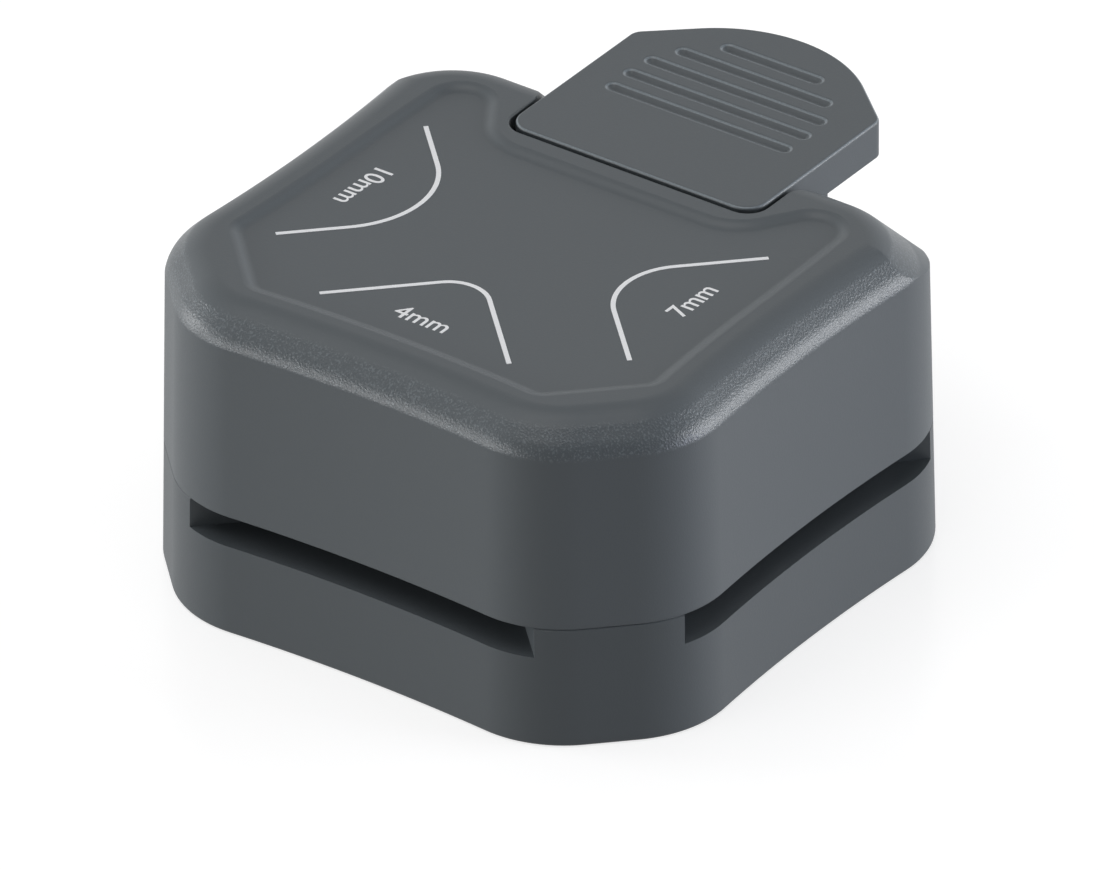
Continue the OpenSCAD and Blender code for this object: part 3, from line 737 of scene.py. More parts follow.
@dataclass(frozen=True)
class BodyShape:
    """Plan and walls of the body, which both housings share, in millimetres."""

    waist_w: float = 61.8
    side_r: float = 200.0
    corner_cut: float = 9.4
    corner_r: float = 11.8
    draft: float = 1.2
    wall: float = 2.2
    corner_screw: float = 20.5
    screw_r: float = 1.5
    boss_d: float = 8.0

    def lean(self, height: float) -> float:
        """Inset of the leaning wall at a height."""
        return height * math.tan(math.radians(self.draft))

    def joint(self) -> tuple[Vector, float]:
        """Works out where a side runs into a chamfer.

        Returns:
            The centre of the rounded joint and the angle of the side's half arc in degrees.
        """
        total = self.waist_w - self.corner_cut - self.corner_r * math.sqrt(2)
        reach = total - self.waist_w / 2 - self.side_r
        y = (reach + math.sqrt(2 * (self.side_r + self.corner_r) ** 2 - reach * reach)) / 2
        centre = Vector((total - y, y))
        angle = math.degrees(math.atan2(y, self.waist_w / 2 + self.side_r - centre.x))
        return centre, angle

    def half_side(self) -> tuple[Turn, Turn, Run, Turn, Turn]:
        """Walks from the middle of one side to the middle of the next.

        Returns:
            The moves.
        """
        centre, angle = self.joint()
        side = Turn(self.side_r, -angle, steps=10)
        joint = Turn(self.corner_r, 45 + angle, steps=14)
        return side, joint, Run((centre.x - centre.y) * math.sqrt(2)), joint, side

    def outline(self) -> Outline:
        """The body's outline on the table."""
        return Outline((self.waist_w / 2, 0), 90, self.half_side() * 4)


def even_angles(start: float, end: float, steps: int) -> list[float]:
    """Parts a turn evenly.

    Args:
        start: First angle in degrees.
        end: Last angle in degrees.
        steps: Number of steps.

    Returns:
        The angles in radians.
    """
    return [math.radians(start + (end - start) * k / steps) for k in range(steps + 1)]


def rising_edge(radius: float, top: float, steep: float = 90.0, steps: int = 6) -> list[Pair]:
    """Levels of an outer edge that is rounded inwards on its way up.

    Args:
        radius: Radius of the edge.
        top: Height where it ends.
        steep: Angle at its start, in degrees from the flat top.
        steps: Number of steps.

    Returns:
        Inset and height of each level, with no inset at the start of a quarter turn.
    """
    return [(radius * (1 - math.sin(a)), top - radius * (1 - math.cos(a)))
            for a in even_angles(steep, 0, steps)]


def flared_edge(radius: float, top: float, steep: float = 85.0, flat: float = 4.0,
                steps: int = 6) -> list[Pair]:
    """Levels of a cut whose upper edge is rounded outwards.

    Args:
        radius: Radius of the edge.
        top: Height of the surface that is cut.
        steep: Angle where the edge starts, in degrees from the flat surface.
        flat: Angle where it ends.
        steps: Number of steps.

    Returns:
        Inset and height of each level, and one level above the surface.
    """
    levels = [(radius * (math.sin(a) - 1), top - radius * (1 - math.cos(a)))
              for a in even_angles(steep, flat, steps)]
    return [*levels, (levels[-1][0], top + OVER)]


@dataclass
class UpperHousing(DressedNode):
    """Upper shell with its shoulder, sunk panel, lever notch, pivot ears and screw bosses."""

    piece_name: ClassVar[str] = "upper_shell"
    node_name: ClassVar[str] = "upper_housing"
    body: BodyShape
    panel: BodyShape = BodyShape(waist_w=48.0, side_r=206.9, corner_cut=6.6, corner_r=2.0)
    edge: float = 0.12
    shoulder_h: float = 3.76
    shoulder_w: float = 4.6
    low_r: float = 3.6
    low_start: float = 12.0
    shoulder_slope: float = 45.0
    shoulder_steps: int = 8
    top_r: float = 4.0
    panel_depth: float = 0.5
    panel_step: float = 1.7
    panel_steps: int = 6
    flank_r: float = 375.0
    lobe_y: float = 14.4
    lobe_r: float = 3.1
    lobe_lean: float = 57.0
    hollow_r: float = 6.0
    panel_front: float = 10.25
    rear_slope_y: float = 20.5
    rear_slope: float = 45.0
    crease_r: float = 4.0
    crease_steps: int = 12
    rear_corner_r: float = 8.0
    rear_corner_x: float = 28.4
    notch_half: float = 14.92
    notch_front: float = 12.95
    notch_r: float = 2.3
    notch_floor: float = 22.9
    mouth_r: float = 1.9
    lip_r: float = 0.25
    ear_x: float = 11.3
    ear_t: float = 4.2
    ear_y: Pair = (-27.0, -11.0)
    pin_r: float = 2.03
    cap_screw_r: float = 1.0
    cap_screw_y: float = 5.5
    cap_thread: float = 6.0
    corner_thread: float = 12.0

    def __post_init__(self) -> None:
        """Reads the levels and the pivot from the frame."""
        low, high = span("upper_housing")
        self.split_z, self.rim_z = low.z, high.z
        self.pin_half = span("lever_pin")[1].x
        self.pivot = axle("lever_pin")
        self.panel_z = self.rim_z - self.panel_depth
        self.shoulder_z = self.rim_z - self.shoulder_h
        self.ceiling_z = self.panel_z - self.body.wall

    def levels(self) -> list[Pair]:
        """Works out the wall's section.

        Returns:
            Inset and height of each level, from the joint to the rim.
        """
        foot = self.body.lean(self.shoulder_z)
        joint = self.body.lean(self.split_z)
        start, steps = math.radians(self.low_start), self.shoulder_steps
        low = [(foot + self.low_r * (math.cos(start) - math.cos(a)),
                self.shoulder_z + self.low_r * (math.sin(a) - math.sin(start)))
               for a in even_angles(self.low_start, self.shoulder_slope, steps)]
        inner = foot + self.shoulder_w - self.top_r
        top = [(inner + inset, height) for inset, height in
               rising_edge(self.top_r, self.rim_z, 90 - self.shoulder_slope, steps)]
        return [(joint + self.edge, self.split_z), (joint, self.split_z + self.edge), *low, *top]

    def above_slope(self, drop: float) -> Solid:
        """Makes the space above the rear slope.

        Args:
            drop: Distance that the slope is let down.

        Returns:
            The space, with a rounded crease and round corners.
        """
        slope = math.radians(self.rear_slope)
        start = (self.crease_r + drop) * math.tan(slope / 2)
        top = self.rim_z - drop
        crease = [(start - self.crease_r * math.sin(a), top - self.crease_r * (1 - math.cos(a)))
                  for a in even_angles(self.rear_slope, 0, self.crease_steps)]
        foot = (crease[0][0] - FAR * math.cos(slope), crease[0][1] - FAR * math.sin(slope))
        corner = Turn(self.rear_corner_r, 90, steps=24)
        across = Run(self.rear_corner_x - self.rear_corner_r)
        along = Run(FAR + self.rear_slope_y - 2 * self.rear_corner_r)
        outline = Outline((0, -FAR), 0, (across, corner, along, corner, across) * 2)
        kept = Solid.loft(outline, [foot, *crease, (start, self.rim_z + FAR)])
        half = self.body.waist_w
        return Solid.blocks(((-half, 0, OVER), (half, half, self.rim_z + OVER))) - kept

    def panel_outline(self) -> Outline:
        """Walks round the panel from the middle of its front edge.

        Returns:
            The panel's outline.
        """
        tilt = math.asin(self.lobe_y / self.flank_r)
        lean = math.radians(self.lobe_lean)
        fall = self.lobe_y + self.lobe_r * (math.cos(lean) - math.sin(tilt)) - self.panel_front
        run = (fall - self.hollow_r * (1 - math.cos(lean))) / math.sin(lean)
        side_x = self.panel.waist_w / 2 - self.flank_r * (1 - math.cos(tilt))
        edge = side_x - self.lobe_r * (math.cos(tilt) + math.sin(lean)) - run * math.cos(lean)
        half = (
            *self.panel.half_side(),
            Turn(self.flank_r, math.degrees(tilt), steps=6),
            Turn(self.lobe_r, 90 + self.lobe_lean - math.degrees(tilt), steps=24),
            Run(run),
            Turn(self.hollow_r, -self.lobe_lean, steps=12),
            Run(edge - self.hollow_r * math.sin(lean)),
        )
        return Outline((0, -self.panel.waist_w / 2), 0, half + half[::-1])

    def panel_cut(self) -> Solid:
        """Makes the space of the sunk panel.

        Returns:
            The space, whose edge is a soft step.
        """
        steep = 2 * math.degrees(math.atan(self.panel_depth / self.panel_step))
        radius = self.panel_step / (2 * math.sin(math.radians(steep)))
        half = self.panel_step / 2
        foot = [(half - radius * math.sin(a), self.panel_z + radius * (1 - math.cos(a)))
                for a in even_angles(0, steep, self.panel_steps)]
        lip = [(radius - half + inset, z)
               for inset, z in flared_edge(radius, self.rim_z, steep, steps=self.panel_steps)]
        return Solid.loft(self.panel_outline(), [*foot, *lip[1:]])

    def notch_cut(self) -> Solid:
        """Makes the space of the lever's notch.

        Returns:
            The space, with a rounded upper edge.
        """
        corner = Turn(self.notch_r, 90, steps=12)
        across = Run(self.notch_half - self.notch_r)
        half = (across, corner, Run(FAR / 2), corner, across)
        outline = Outline((0, self.notch_front), 0, half * 2)
        return Solid.loft(outline, [(0, self.notch_floor), *flared_edge(self.lip_r, self.rim_z)])

    def mouth_cut(self, side: int) -> Solid:
        """Makes the space that rounds the notch's edge on the rear slope.

        Args:
            side: 1 for the right edge, -1 for the left edge.

        Returns:
            The space along the slope.
        """
        bend = Turn(BEND, 90, steps=1)
        edge = Turn(self.mouth_r, -90, steps=12)
        back = Run(OVER + self.mouth_r)
        moves = (Run(OVER), bend, edge, bend, Run(OVER), bend, back, bend, back)
        outline = Outline((self.notch_half - OVER - BEND, -self.mouth_r), 0, moves)
        tilt = math.radians(self.rear_slope)
        sin, cos = math.sin(tilt), math.cos(tilt)
        turn = Matrix(((side, 0, 0, 0), (0, sin, -cos, self.rear_slope_y),
                       (0, cos, sin, self.rim_z), (0, 0, 0, 1)))
        return Solid.prism(outline, -FAR / 2, FAR / 2, turn)

    def ears(self) -> Solid:
        """Makes the two ears that hold the pivot pin.

        Returns:
            The ears as one solid.
        """
        front, rear = self.ear_y
        top = self.ceiling_z + self.panel_depth
        sides = [(self.ear_x, self.ear_x + self.ear_t), (-self.ear_x - self.ear_t, -self.ear_x)]
        return Solid.blocks(*[((x0, front, self.pivot[1]), (x1, rear, top)) for x0, x1 in sides])

    def build(self) -> Solid:
        """Models the shell.

        Returns:
            The shell as a solid.
        """
        wall, lean = self.body.wall, self.body.lean
        outline = self.body.outline()
        screws = corners(self.body.corner_screw)
        cavity = Solid.loft(outline, [
            (wall + lean(self.split_z), self.split_z - OVER),
            (wall + lean(self.shoulder_z), self.shoulder_z - wall / 2),
            (wall + lean(self.shoulder_z) + self.shoulder_w, self.ceiling_z),
        ])
        shell = Solid.loft(outline, self.levels()) - self.above_slope(0)
        shell -= cavity - self.above_slope(wall)
        boss_top = self.ceiling_z + self.panel_depth
        bosses = Solid.rods(self.body.boss_d / 2, self.split_z, boss_top, screws)
        shell = shell + (bosses - self.above_slope(wall / 2)) + self.ears()
        below = Solid.blocks(((-FAR, 0, -FAR), (FAR, FAR, self.notch_floor + BEND)))
        mouths = self.mouth_cut(1) + self.mouth_cut(-1) - below
        shell = shell - self.panel_cut() - self.notch_cut() - mouths
        thread_top = self.split_z + self.corner_thread
        shell -= Solid.rods(self.body.screw_r, self.split_z - OVER, thread_top, screws)
        shell -= Solid.rods(self.pin_r, -self.pin_half, self.pin_half, [self.pivot], along_x=True)
        ear_mid = self.ear_x + self.ear_t / 2
        y, z = self.pivot
        caps = [(s * ear_mid, y + t * self.cap_screw_y) for s in (-1, 1) for t in (-1, 1)]
        return shell - Solid.rods(self.cap_screw_r, z - OVER, z + self.cap_thread, caps)


@dataclass
class BaseHousing(DressedNode):
    """Lower shell with the floors of the paper slots, the waste chamber and the cover's hinge."""

    piece_name: ClassVar[str] = "base_shell"
    node_name: ClassVar[str] = "base_housing"
    body: BodyShape
    edge: float = 0.12
    foot_r: float = 0.4
    floor_t: float = 1.9
    slot_apex: float = 10.2
    die_gap: float = 0.15
    deck_t: float = 1.1
    punch_margin: float = 1.0
    punch_back: float = 1.6
    window_gap: float = 0.5
    head_r: float = 2.95
    head_h: float = 3.0
    die_screw: float = 15.0
    die_screw_r: float = 1.25
    post_r: float = 2.03
    boss_wall: float = 1.6
    boss_bottom: float = 2.7
    boss_hole: float = 3.7
    opening_half: float = 22.1
    opening_diag: float = 33.8
    hinge_rear: float = 25.8
    hinge_top: float = 4.6
    hinge_room: float = 2.2
    lug_t: float = 2.0
    lug_wall: float = 0.6
    lug_ring: float = 0.8
    lug_back: float = 1.1
    plate_cut: float = 12.0
    screw_room: float = 0.15
    pin_room: float = 0.03
    foot_steps: int = 4

    def __post_init__(self) -> None:
        """Reads levels and places from the CAD nodes."""
        self.split_z = span("base_housing")[1].z
        plate_low, plate_high = span("die_plate")
        self.plate_half = plate_high.x
        self.die_bottom, self.die_top = plate_low.z, plate_high.z
        self.plate_diag = self.plate_half + self.plate_cut
        post_low, post_high = span("guide_post_right")
        post = (post_low + post_high) / 2
        self.posts = [(s * post.x, post.y) for s in (-1, 1)]
        pin_low, pin_high = span("cover_hinge_pin")
        self.hinge_half = pin_high.x
        self.hinge_r = (pin_high.z - pin_low.z) / 2
        self.hinge = axle("cover_hinge_pin")

    def octagon(self, half: float, diag: float) -> Outline:
        """Octagon with flat sides.

        Args:
            half: Half of its width.
            diag: Sum of both places on a cut corner.

        Returns:
            The outline.
        """
        cut = (2 * half - diag) * math.sqrt(2)
        side = 2 * (diag - half)
        bend = Turn(self.edge, 45, steps=3)
        trim = 2 * self.edge * math.tan(math.radians(45 / 2))
        moves = (Run((side - trim) / 2), bend, Run(cut - trim), bend, Run((side - trim) / 2)) * 4
        return Outline((half, 0), 90, moves)

    def slots(self) -> Solid:
        """Makes the ways of the three papers' corners.

        Returns:
            The ways as one solid.
        """
        leg = FAR / 2
        edge = Run(leg * math.sqrt(2))
        tip = Outline((-self.slot_apex - leg, leg), -45, (edge, Turn(BEND, -90, steps=1), edge))
        return Solid.union(Solid.prism(tip, self.die_top, leg, side.turn) for side in Side)

    def windows(self) -> Solid:
        """Makes the openings that the cut corners fall through.

        Returns:
            The openings as one solid.
        """
        low, high = self.die_bottom - self.deck_t - OVER, self.die_bottom + OVER
        inner = self.punch_back - self.slot_apex + self.window_gap
        holes = []
        for side, radius in CUT_RADIUS.items():
            half = radius / math.sqrt(2) + self.punch_margin + self.window_gap
            reach = self.slot_apex + radius / math.sqrt(2) + self.window_gap
            hole = Solid.blocks(((-reach, -half, low), (inner, half, high)))
            holes.append(hole.turned(side.turn))
        return Solid.union(holes)

    def lugs(self) -> Solid:
        """Makes the two lugs that hold the ends of the hinge pin.

        Returns:
            The lugs as one solid.
        """
        y, z = self.hinge
        radius = self.hinge_r + self.lug_ring
        out = self.hinge_half + self.lug_wall
        back = self.body.waist_w / 2 - self.lug_back
        lugs = []
        for low in (-out, out - self.lug_t):
            eye = Solid.rods(radius, low, low + self.lug_t, [self.hinge], along_x=True)
            tie = Solid.blocks(((low, y, z - radius), (low + self.lug_t, back, z + radius)))
            lugs.append(eye + tie)
        return Solid.union(lugs)

    def build(self) -> Solid:
        """Models the shell.

        Returns:
            The shell as a solid.
        """
        wall, lean = self.body.wall, self.body.lean
        outline = self.body.outline()
        screws = corners(self.body.corner_screw)
        top = lean(self.split_z)
        low = lean(self.foot_r)
        foot = [(self.foot_r * (1 - math.sin(a)) + low, self.foot_r * (1 - math.cos(a)))
                for a in even_angles(0, 90, self.foot_steps)]
        walls = [(top, self.split_z - self.edge), (top + self.edge, self.split_z)]
        shell = Solid.loft(outline, [*foot, *walls])
        deck = self.die_bottom - self.deck_t
        chamber = Solid.loft(outline, [(wall, self.floor_t), (wall + lean(deck), deck)])
        chamber -= Solid.rods(self.body.boss_d / 2, -OVER, self.split_z, screws)
        studs = ((self.die_screw_r, corners(self.die_screw)), (self.post_r, self.posts))
        for radius, places in studs:
            chamber -= Solid.rods(radius + self.boss_wall, self.boss_bottom, self.split_z, places)
        hinge_front = self.hinge[0] - self.hinge_room
        hinge_half = self.opening_diag - hinge_front
        opening = Solid.prism(self.octagon(self.opening_half, self.opening_diag),
                              -OVER, self.floor_t + OVER)
        opening += Solid.blocks(((-hinge_half, hinge_front, -OVER),
                                 (hinge_half, self.hinge_rear, self.hinge_top)))
        shell = shell - chamber - opening + self.lugs()
        pocket = self.octagon(self.plate_half + self.die_gap,
                              self.plate_diag + self.die_gap * math.sqrt(2))
        shell -= Solid.prism(pocket, self.die_bottom, self.split_z + OVER)
        shell = shell - self.slots() - self.windows()
        hole_r = self.body.screw_r + self.screw_room
        shell -= Solid.rods(hole_r, -OVER, self.split_z + OVER, screws)
        shell -= Solid.rods(self.head_r, -OVER, self.head_h, screws)
        for radius, places in studs:
            shell -= Solid.rods(radius, self.boss_hole, self.split_z, places)
        return shell - Solid.rods(self.hinge_r + self.pin_room, -self.hinge_half, self.hinge_half,
                                  [self.hinge], along_x=True)


@dataclass
class PressLever(DressedNode):
    """Lever with its finger tab, grooves, arm, skirt, nose and hub."""

    piece_name: ClassVar[str] = "lever_tab"
    node_name: ClassVar[str] = "press_lever"
    body_name: ClassVar[str] = "lever"
    tab_front: float = 13.4
    tab_tip_r: float = 14.8
    tab_flank: float = 41.0
    tab_h: float = 4.1
    tab_wall: float = 2.0
    front_r: float = 2.4
    corner_r: float = 1.6
    edge_r: float = 0.3
    groove_count: int = 5
    groove_tip: float = 5.25
    groove_pitch: float = 3.06
    groove_l: float = 22.2
    groove_margin: float = 3.45
    groove_w: float = 1.9
    groove_depth: float = 0.38
    groove_steps: int = 10
    groove_bottom: float = 0.3
    groove_rim: float = 0.98
    arm_w: float = 22.0
    arm_z: Pair = (28.85, 31.05)
    rib_w: float = 10.0
    rib_bottom: float = 25.6
    skirt_y: float = 23.8
    nose: Triple = (4.0, 3.0, 25.45)
    hub_r: float = 3.65
    hub_block: float = 2.5
    bore_r: float = 2.05
    tuck: float = 0.02

    def __post_init__(self) -> None:
        """Reads the tab's box and the pivot from the frame."""
        low, high = span("press_lever")
        self.half = high.x
        self.tip = high.y
        self.top = high.z
        self.skirt_z = low.z
        self.pivot = axle("lever_pin")
        self.bottom = self.top - self.tab_h
        self.round_y = self.tip - self.tab_tip_r
        flank = math.radians(self.tab_flank)
        reach = self.tab_tip_r - self.half * math.sin(flank)
        self.corner_y = self.round_y + reach / math.cos(flank)

    def tab_outline(self) -> Outline:
        """Walks round the tab from the middle of its front edge.

        Returns:
            The tab's outline.
        """
        flank = math.radians(self.tab_flank)
        trim = self.corner_r * math.tan((math.pi / 2 - flank) / 2)
        half = (
            Run(self.half - self.front_r),
            Turn(self.front_r, 90, steps=12),
            Run(self.corner_y - trim - self.tab_front - self.front_r),
            Turn(self.corner_r, 90 - self.tab_flank, steps=8),
            Run((self.half - self.tab_tip_r * math.sin(flank)) / math.cos(flank) - trim),
            Turn(self.tab_tip_r, self.tab_flank, steps=28),
        )
        return Outline((0, self.tab_front), 0, half + half[::-1])

    def groove_cut(self, number: int) -> Solid:
        """Makes the space of a finger groove.

        Args:
            number: Its number from the tip.

        Returns:
            The space, with a round bottom and soft edges.
        """
        back = self.tab_tip_r - self.groove_tip - number * self.groove_pitch
        chord = math.sqrt((self.tab_tip_r - self.groove_margin) ** 2 - back * back)
        run = min(self.groove_l, 2 * chord) - self.groove_w
        radius = self.groove_w / 2
        y = self.tip - self.groove_tip - number * self.groove_pitch
        end = Turn(radius, 180, steps=12)
        outline = Outline((-run / 2, y - radius), 0, (Run(run), end, Run(run), end))
        bottom, steps = self.groove_bottom, self.groove_steps
        shares = [self.groove_rim * (k + bottom) / (steps + bottom) for k in range(steps + 1)]
        deep = self.groove_depth / 2
        side = [(radius * (1 - share), self.top - deep * (1 + math.cos(math.pi * share)))
                for share in shares]
        return Solid.loft(outline, [*side, (side[-1][0], self.top + OVER)])

    def arm(self) -> Solid:
        """Makes the arm with its rib, riser and skirt.

        Returns:
            The arm as a solid.
        """
        low, high = self.arm_z
        wall, into = self.tab_wall, self.bottom + OVER
        pivot_y = self.pivot[0]
        half, rib = self.arm_w / 2, self.rib_w / 2
        front, back = self.tab_front + self.tuck, self.tab_front + wall
        spine = self.skirt_y + wall / 2
        edge = self.half - self.tuck
        return Solid.union(Solid.blocks(box) for box in (
            ((-half, pivot_y - self.hub_block, low), (half, back, high)),
            ((-half, front, low + BEND), (half, back, into)),
            ((-rib, pivot_y, self.rib_bottom), (rib, spine, low + OVER)),
            ((-rib, front, low), (rib, spine, into)),
            ((-edge, self.skirt_y, self.skirt_z), (edge, self.skirt_y + wall, into)),
        ))

    def build(self) -> Solid:
        """Models the lever.

        Returns:
            The lever as a solid.
        """
        outline = self.tab_outline()
        edge = rising_edge(self.edge_r, self.top)
        bevel = self.edge_r / 2
        tab = Solid.loft(outline, [(bevel, self.bottom), (0, self.bottom + bevel), *edge])
        wall = self.tab_wall
        tab -= Solid.blocks(((wall - self.half, self.skirt_y + wall, self.bottom - OVER),
                             (self.half - wall, self.corner_y - wall, self.top - wall)))
        for number in range(self.groove_count):
            tab -= self.groove_cut(number)
        nose_half, nose_r, nose_z = self.nose
        low = self.arm_z[0]
        y, z = self.pivot
        half = self.arm_w / 2 - BEND
        lever = tab + self.arm()
        lever += Solid.blocks(((-nose_half, -nose_r, nose_z), (nose_half, nose_r, low + OVER)))
        lever += Solid.rods(nose_r, -nose_half, nose_half, [(0.0, nose_z)], along_x=True)
        lever += Solid.rods(self.hub_r, -half, half, [self.pivot], along_x=True)
        lever += Solid.blocks(((-half, y - self.hub_block + BEND, z),
                               (half, y + self.hub_block, low + OVER)))
        return lever - Solid.rods(self.bore_r, -self.half, self.half, [self.pivot], along_x=True)


@dataclass
class ReturnSpring(DressedNode):
    """Coil spring under the punch holder, wound at its full height; the spring shortens as the holder
    goes down.
    """

    piece_name: ClassVar[str] = "return_coil"
    node_name: ClassVar[str] = "return_spring"
    slot_name: ClassVar[str] = "spring_steel"
    wire_d: float = 0.8
    turns: int = 5
    steps: int = 40
    sides: int = 14
    stroke: float = 2.7

    def __post_init__(self) -> None:
        """Reads the spring's box from the frame."""
        self.low, self.high = span("return_spring")

    def build(self) -> Solid:
        """Winds the wire.

        Returns:
            The coil as a solid.
        """
        radius = self.high.x - self.wire_d / 2
        rise = self.high.z - self.low.z - self.wire_d
        slope = math.atan2(rise, 2 * math.pi * radius * self.turns)
        start = Matrix.Translation((radius, 0, self.low.z + self.wire_d / 2))
        bm = bmesh.new()
        bmesh.ops.create_circle(bm, segments=self.sides, radius=self.wire_d / 2,
                                matrix=start @ Matrix.Rotation(math.pi / 2 + slope, 4, "X"))
        count = self.turns * self.steps
        bmesh.ops.spin(bm, geom=[*bm.verts, *bm.edges], axis=(0, 0, 1), steps=count,
                       angle=2 * math.pi * self.turns, dvec=(0, 0, rise / count))
        bmesh.ops.holes_fill(bm, edges=[edge for edge in bm.edges if edge.is_boundary])
        return Solid.from_bmesh(bm)

    def dress(self, finish: bpy.types.Material) -> bpy.types.Object:
        """Makes the finished piece.

        Args:
            finish: Its finish.

        Returns:
            The piece.
        """
        piece = super().dress(finish)
        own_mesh(piece)
        return piece


@dataclass
class Legend:
    """Printed size of one slot: an arc mark and its number."""

    side: Side
    reach: float
    middle: float
    half: float
    text_reach: float
    text_middle: float
    stroke: float = 0.48
    thickness: float = 0.02
    text_size: float = 3.05
    text_bold: float = 0.02
    text_steps: int = 6
    arc_steps: int = 32

    def mark(self, panel_z: float) -> BMesh:
        """Draws the mark: two legs at 45 degrees with the cut radius between them.

        Args:
            panel_z: Height of the panel.

        Returns:
            The mark as a thin mesh.
        """
        radius = CUT_RADIUS[self.side]
        leg = self.half * math.sqrt(2) - radius
        bm = bmesh.new()
        across = Vector((1, 1, 0)).normalized() * self.stroke / 2
        along = Vector((1, -1, 0)).normalized()
        end = Vector((-self.reach, self.middle + self.half, panel_z))
        verts = [bm.verts.new(end - across), bm.verts.new(end + across)]
        edge = bmesh.ops.contextual_create(bm, geom=verts)["edges"][0]
        edge = self.extrude(bm, edge, along * leg)
        centre = end + along * leg - across.normalized() * radius
        spun = bmesh.ops.spin(bm, geom=[edge, *edge.verts], cent=centre, axis=(0, 0, 1),
                              angle=-math.pi / 2, steps=self.arc_steps)["geom_last"]
        edge = next(item for item in spun if isinstance(item, BMEdge))
        self.extrude(bm, edge, Vector((-1, -1, 0)).normalized() * leg)
        return bm

    @staticmethod
    def extrude(bm: BMesh, edge: BMEdge, run: Vector) -> BMEdge:
        """Draws an edge out to a strip.

        Args:
            bm: Mesh that holds the edge.
            edge: Edge to draw out.
            run: How far.

        Returns:
            The strip's far edge.
        """
        made = bmesh.ops.extrude_edge_only(bm, edges=[edge])["geom"]
        verts = [item for item in made if isinstance(item, BMVert)]
        bmesh.ops.translate(bm, verts=verts, vec=run)
        return next(item for item in made
                    if isinstance(item, BMEdge) and set(item.verts) == set(verts))

    def number(self, panel_z: float) -> bpy.types.Mesh:
        """Sets the number in the built-in font.

        Args:
            panel_z: Height of the panel.

        Returns:
            The number as a flat mesh in millimetres, in place for the left side.
        """
        curve = bpy.data.curves.new("number", "FONT")
        curve.body = f"{CUT_RADIUS[self.side]:.0f}mm"
        curve.size = self.text_size
        curve.align_x = "CENTER"
        curve.align_y = "CENTER"
        curve.resolution_u = self.text_steps
        curve.offset = self.text_bold
        obj = place_object("number", curve)
        mesh = evaluated(obj)
        bpy.data.objects.remove(obj)
        place = Matrix.Translation((-self.text_reach, self.text_middle, panel_z))
        mesh.transform(place @ Matrix.Rotation(-math.pi / 2, 4, "Z"))
        return mesh

    def dress(self, ink: bpy.types.Material, panel_z: float) -> bpy.types.Object:
        """Prints the legend on the panel.

        Args:
            ink: Its ink.
            panel_z: Height of the panel.

        Returns:
            The piece.
        """
        bm = self.mark(panel_z)
        bm.from_mesh(self.number(panel_z))
        bmesh.ops.remove_doubles(bm, verts=bm.verts, dist=WELD)
        bmesh.ops.recalc_face_normals(bm, faces=bm.faces)
        bmesh.ops.transform(bm, matrix=self.side.turn, verts=bm.verts)
        thicken(bm, bm.faces[:], self.thickness)
        piece = Solid.from_bmesh(bm).piece(f"legend_{CUT_RADIUS[self.side]:.0f}mm", ink)
        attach(piece, "frame")
        return piece


class InnerParts:
    """Finishes of the CAD nodes."""

    def __init__(self, plastic: bpy.types.Material) -> None:
        """Makes the finishes and names the nodes that wear each."""
        black = GrainedPlastic("inner_plastic", linear(42, 43, 46), roughness=0.5).material()
        ground = Metal("tool_steel", linear(172, 174, 178), roughness=0.3, grain=0.3,
                       stretch=(0.06, 1.0, 1.0)).material()
        plated = Metal("plated_steel", linear(200, 202, 205), roughness=0.24, grain=0.5).material()
        wire = Metal("spring_steel", linear(150, 152, 156), roughness=0.32, grain=0.4).material()
        bronze = Metal("bronze", linear(190, 148, 92), roughness=0.35, grain=0.3).material()
        worn_by = (
            (plastic, ("upper_housing", "base_housing", "press_lever", "waste_cover")),
            (black, ("punch_holder", "pin_cap_left", "pin_cap_right")),
            (ground, ("punch_10mm", "punch_7mm", "punch_4mm", "stripper_plate", "die_plate",
                      "pressure_pad")),
            (plated, ("lever_pin", "pin_cap_screws", "punch_screws", "guide_post_left",
                      "guide_post_right", "paper_guide", "die_screws", "cover_hinge_pin",
                      "housing_screws")),
            (bronze, ("guide_bush_left", "guide_bush_right")),
            (wire, ("return_spring",)),
        )
        self.finishes = {node: finish for finish, nodes in worn_by for node in nodes}

    def dress(self) -> None:
        """Gives each node its finish."""
        for name, material in self.finishes.items():
            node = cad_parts[name]
            node.data.materials.clear()
            node.data.materials.append(material)
            log.info("dressed %s", name)


@dataclass(frozen=True)
class Softbox:
    """Soft rectangular lamp, with its place and size in metres and its power in watts."""

    name: str
    place: Triple
    size: Pair
    power: float
    colour: Triple = (1.0, 1.0, 1.0)
    target: Triple = (0.0, 0.0, 0.02)


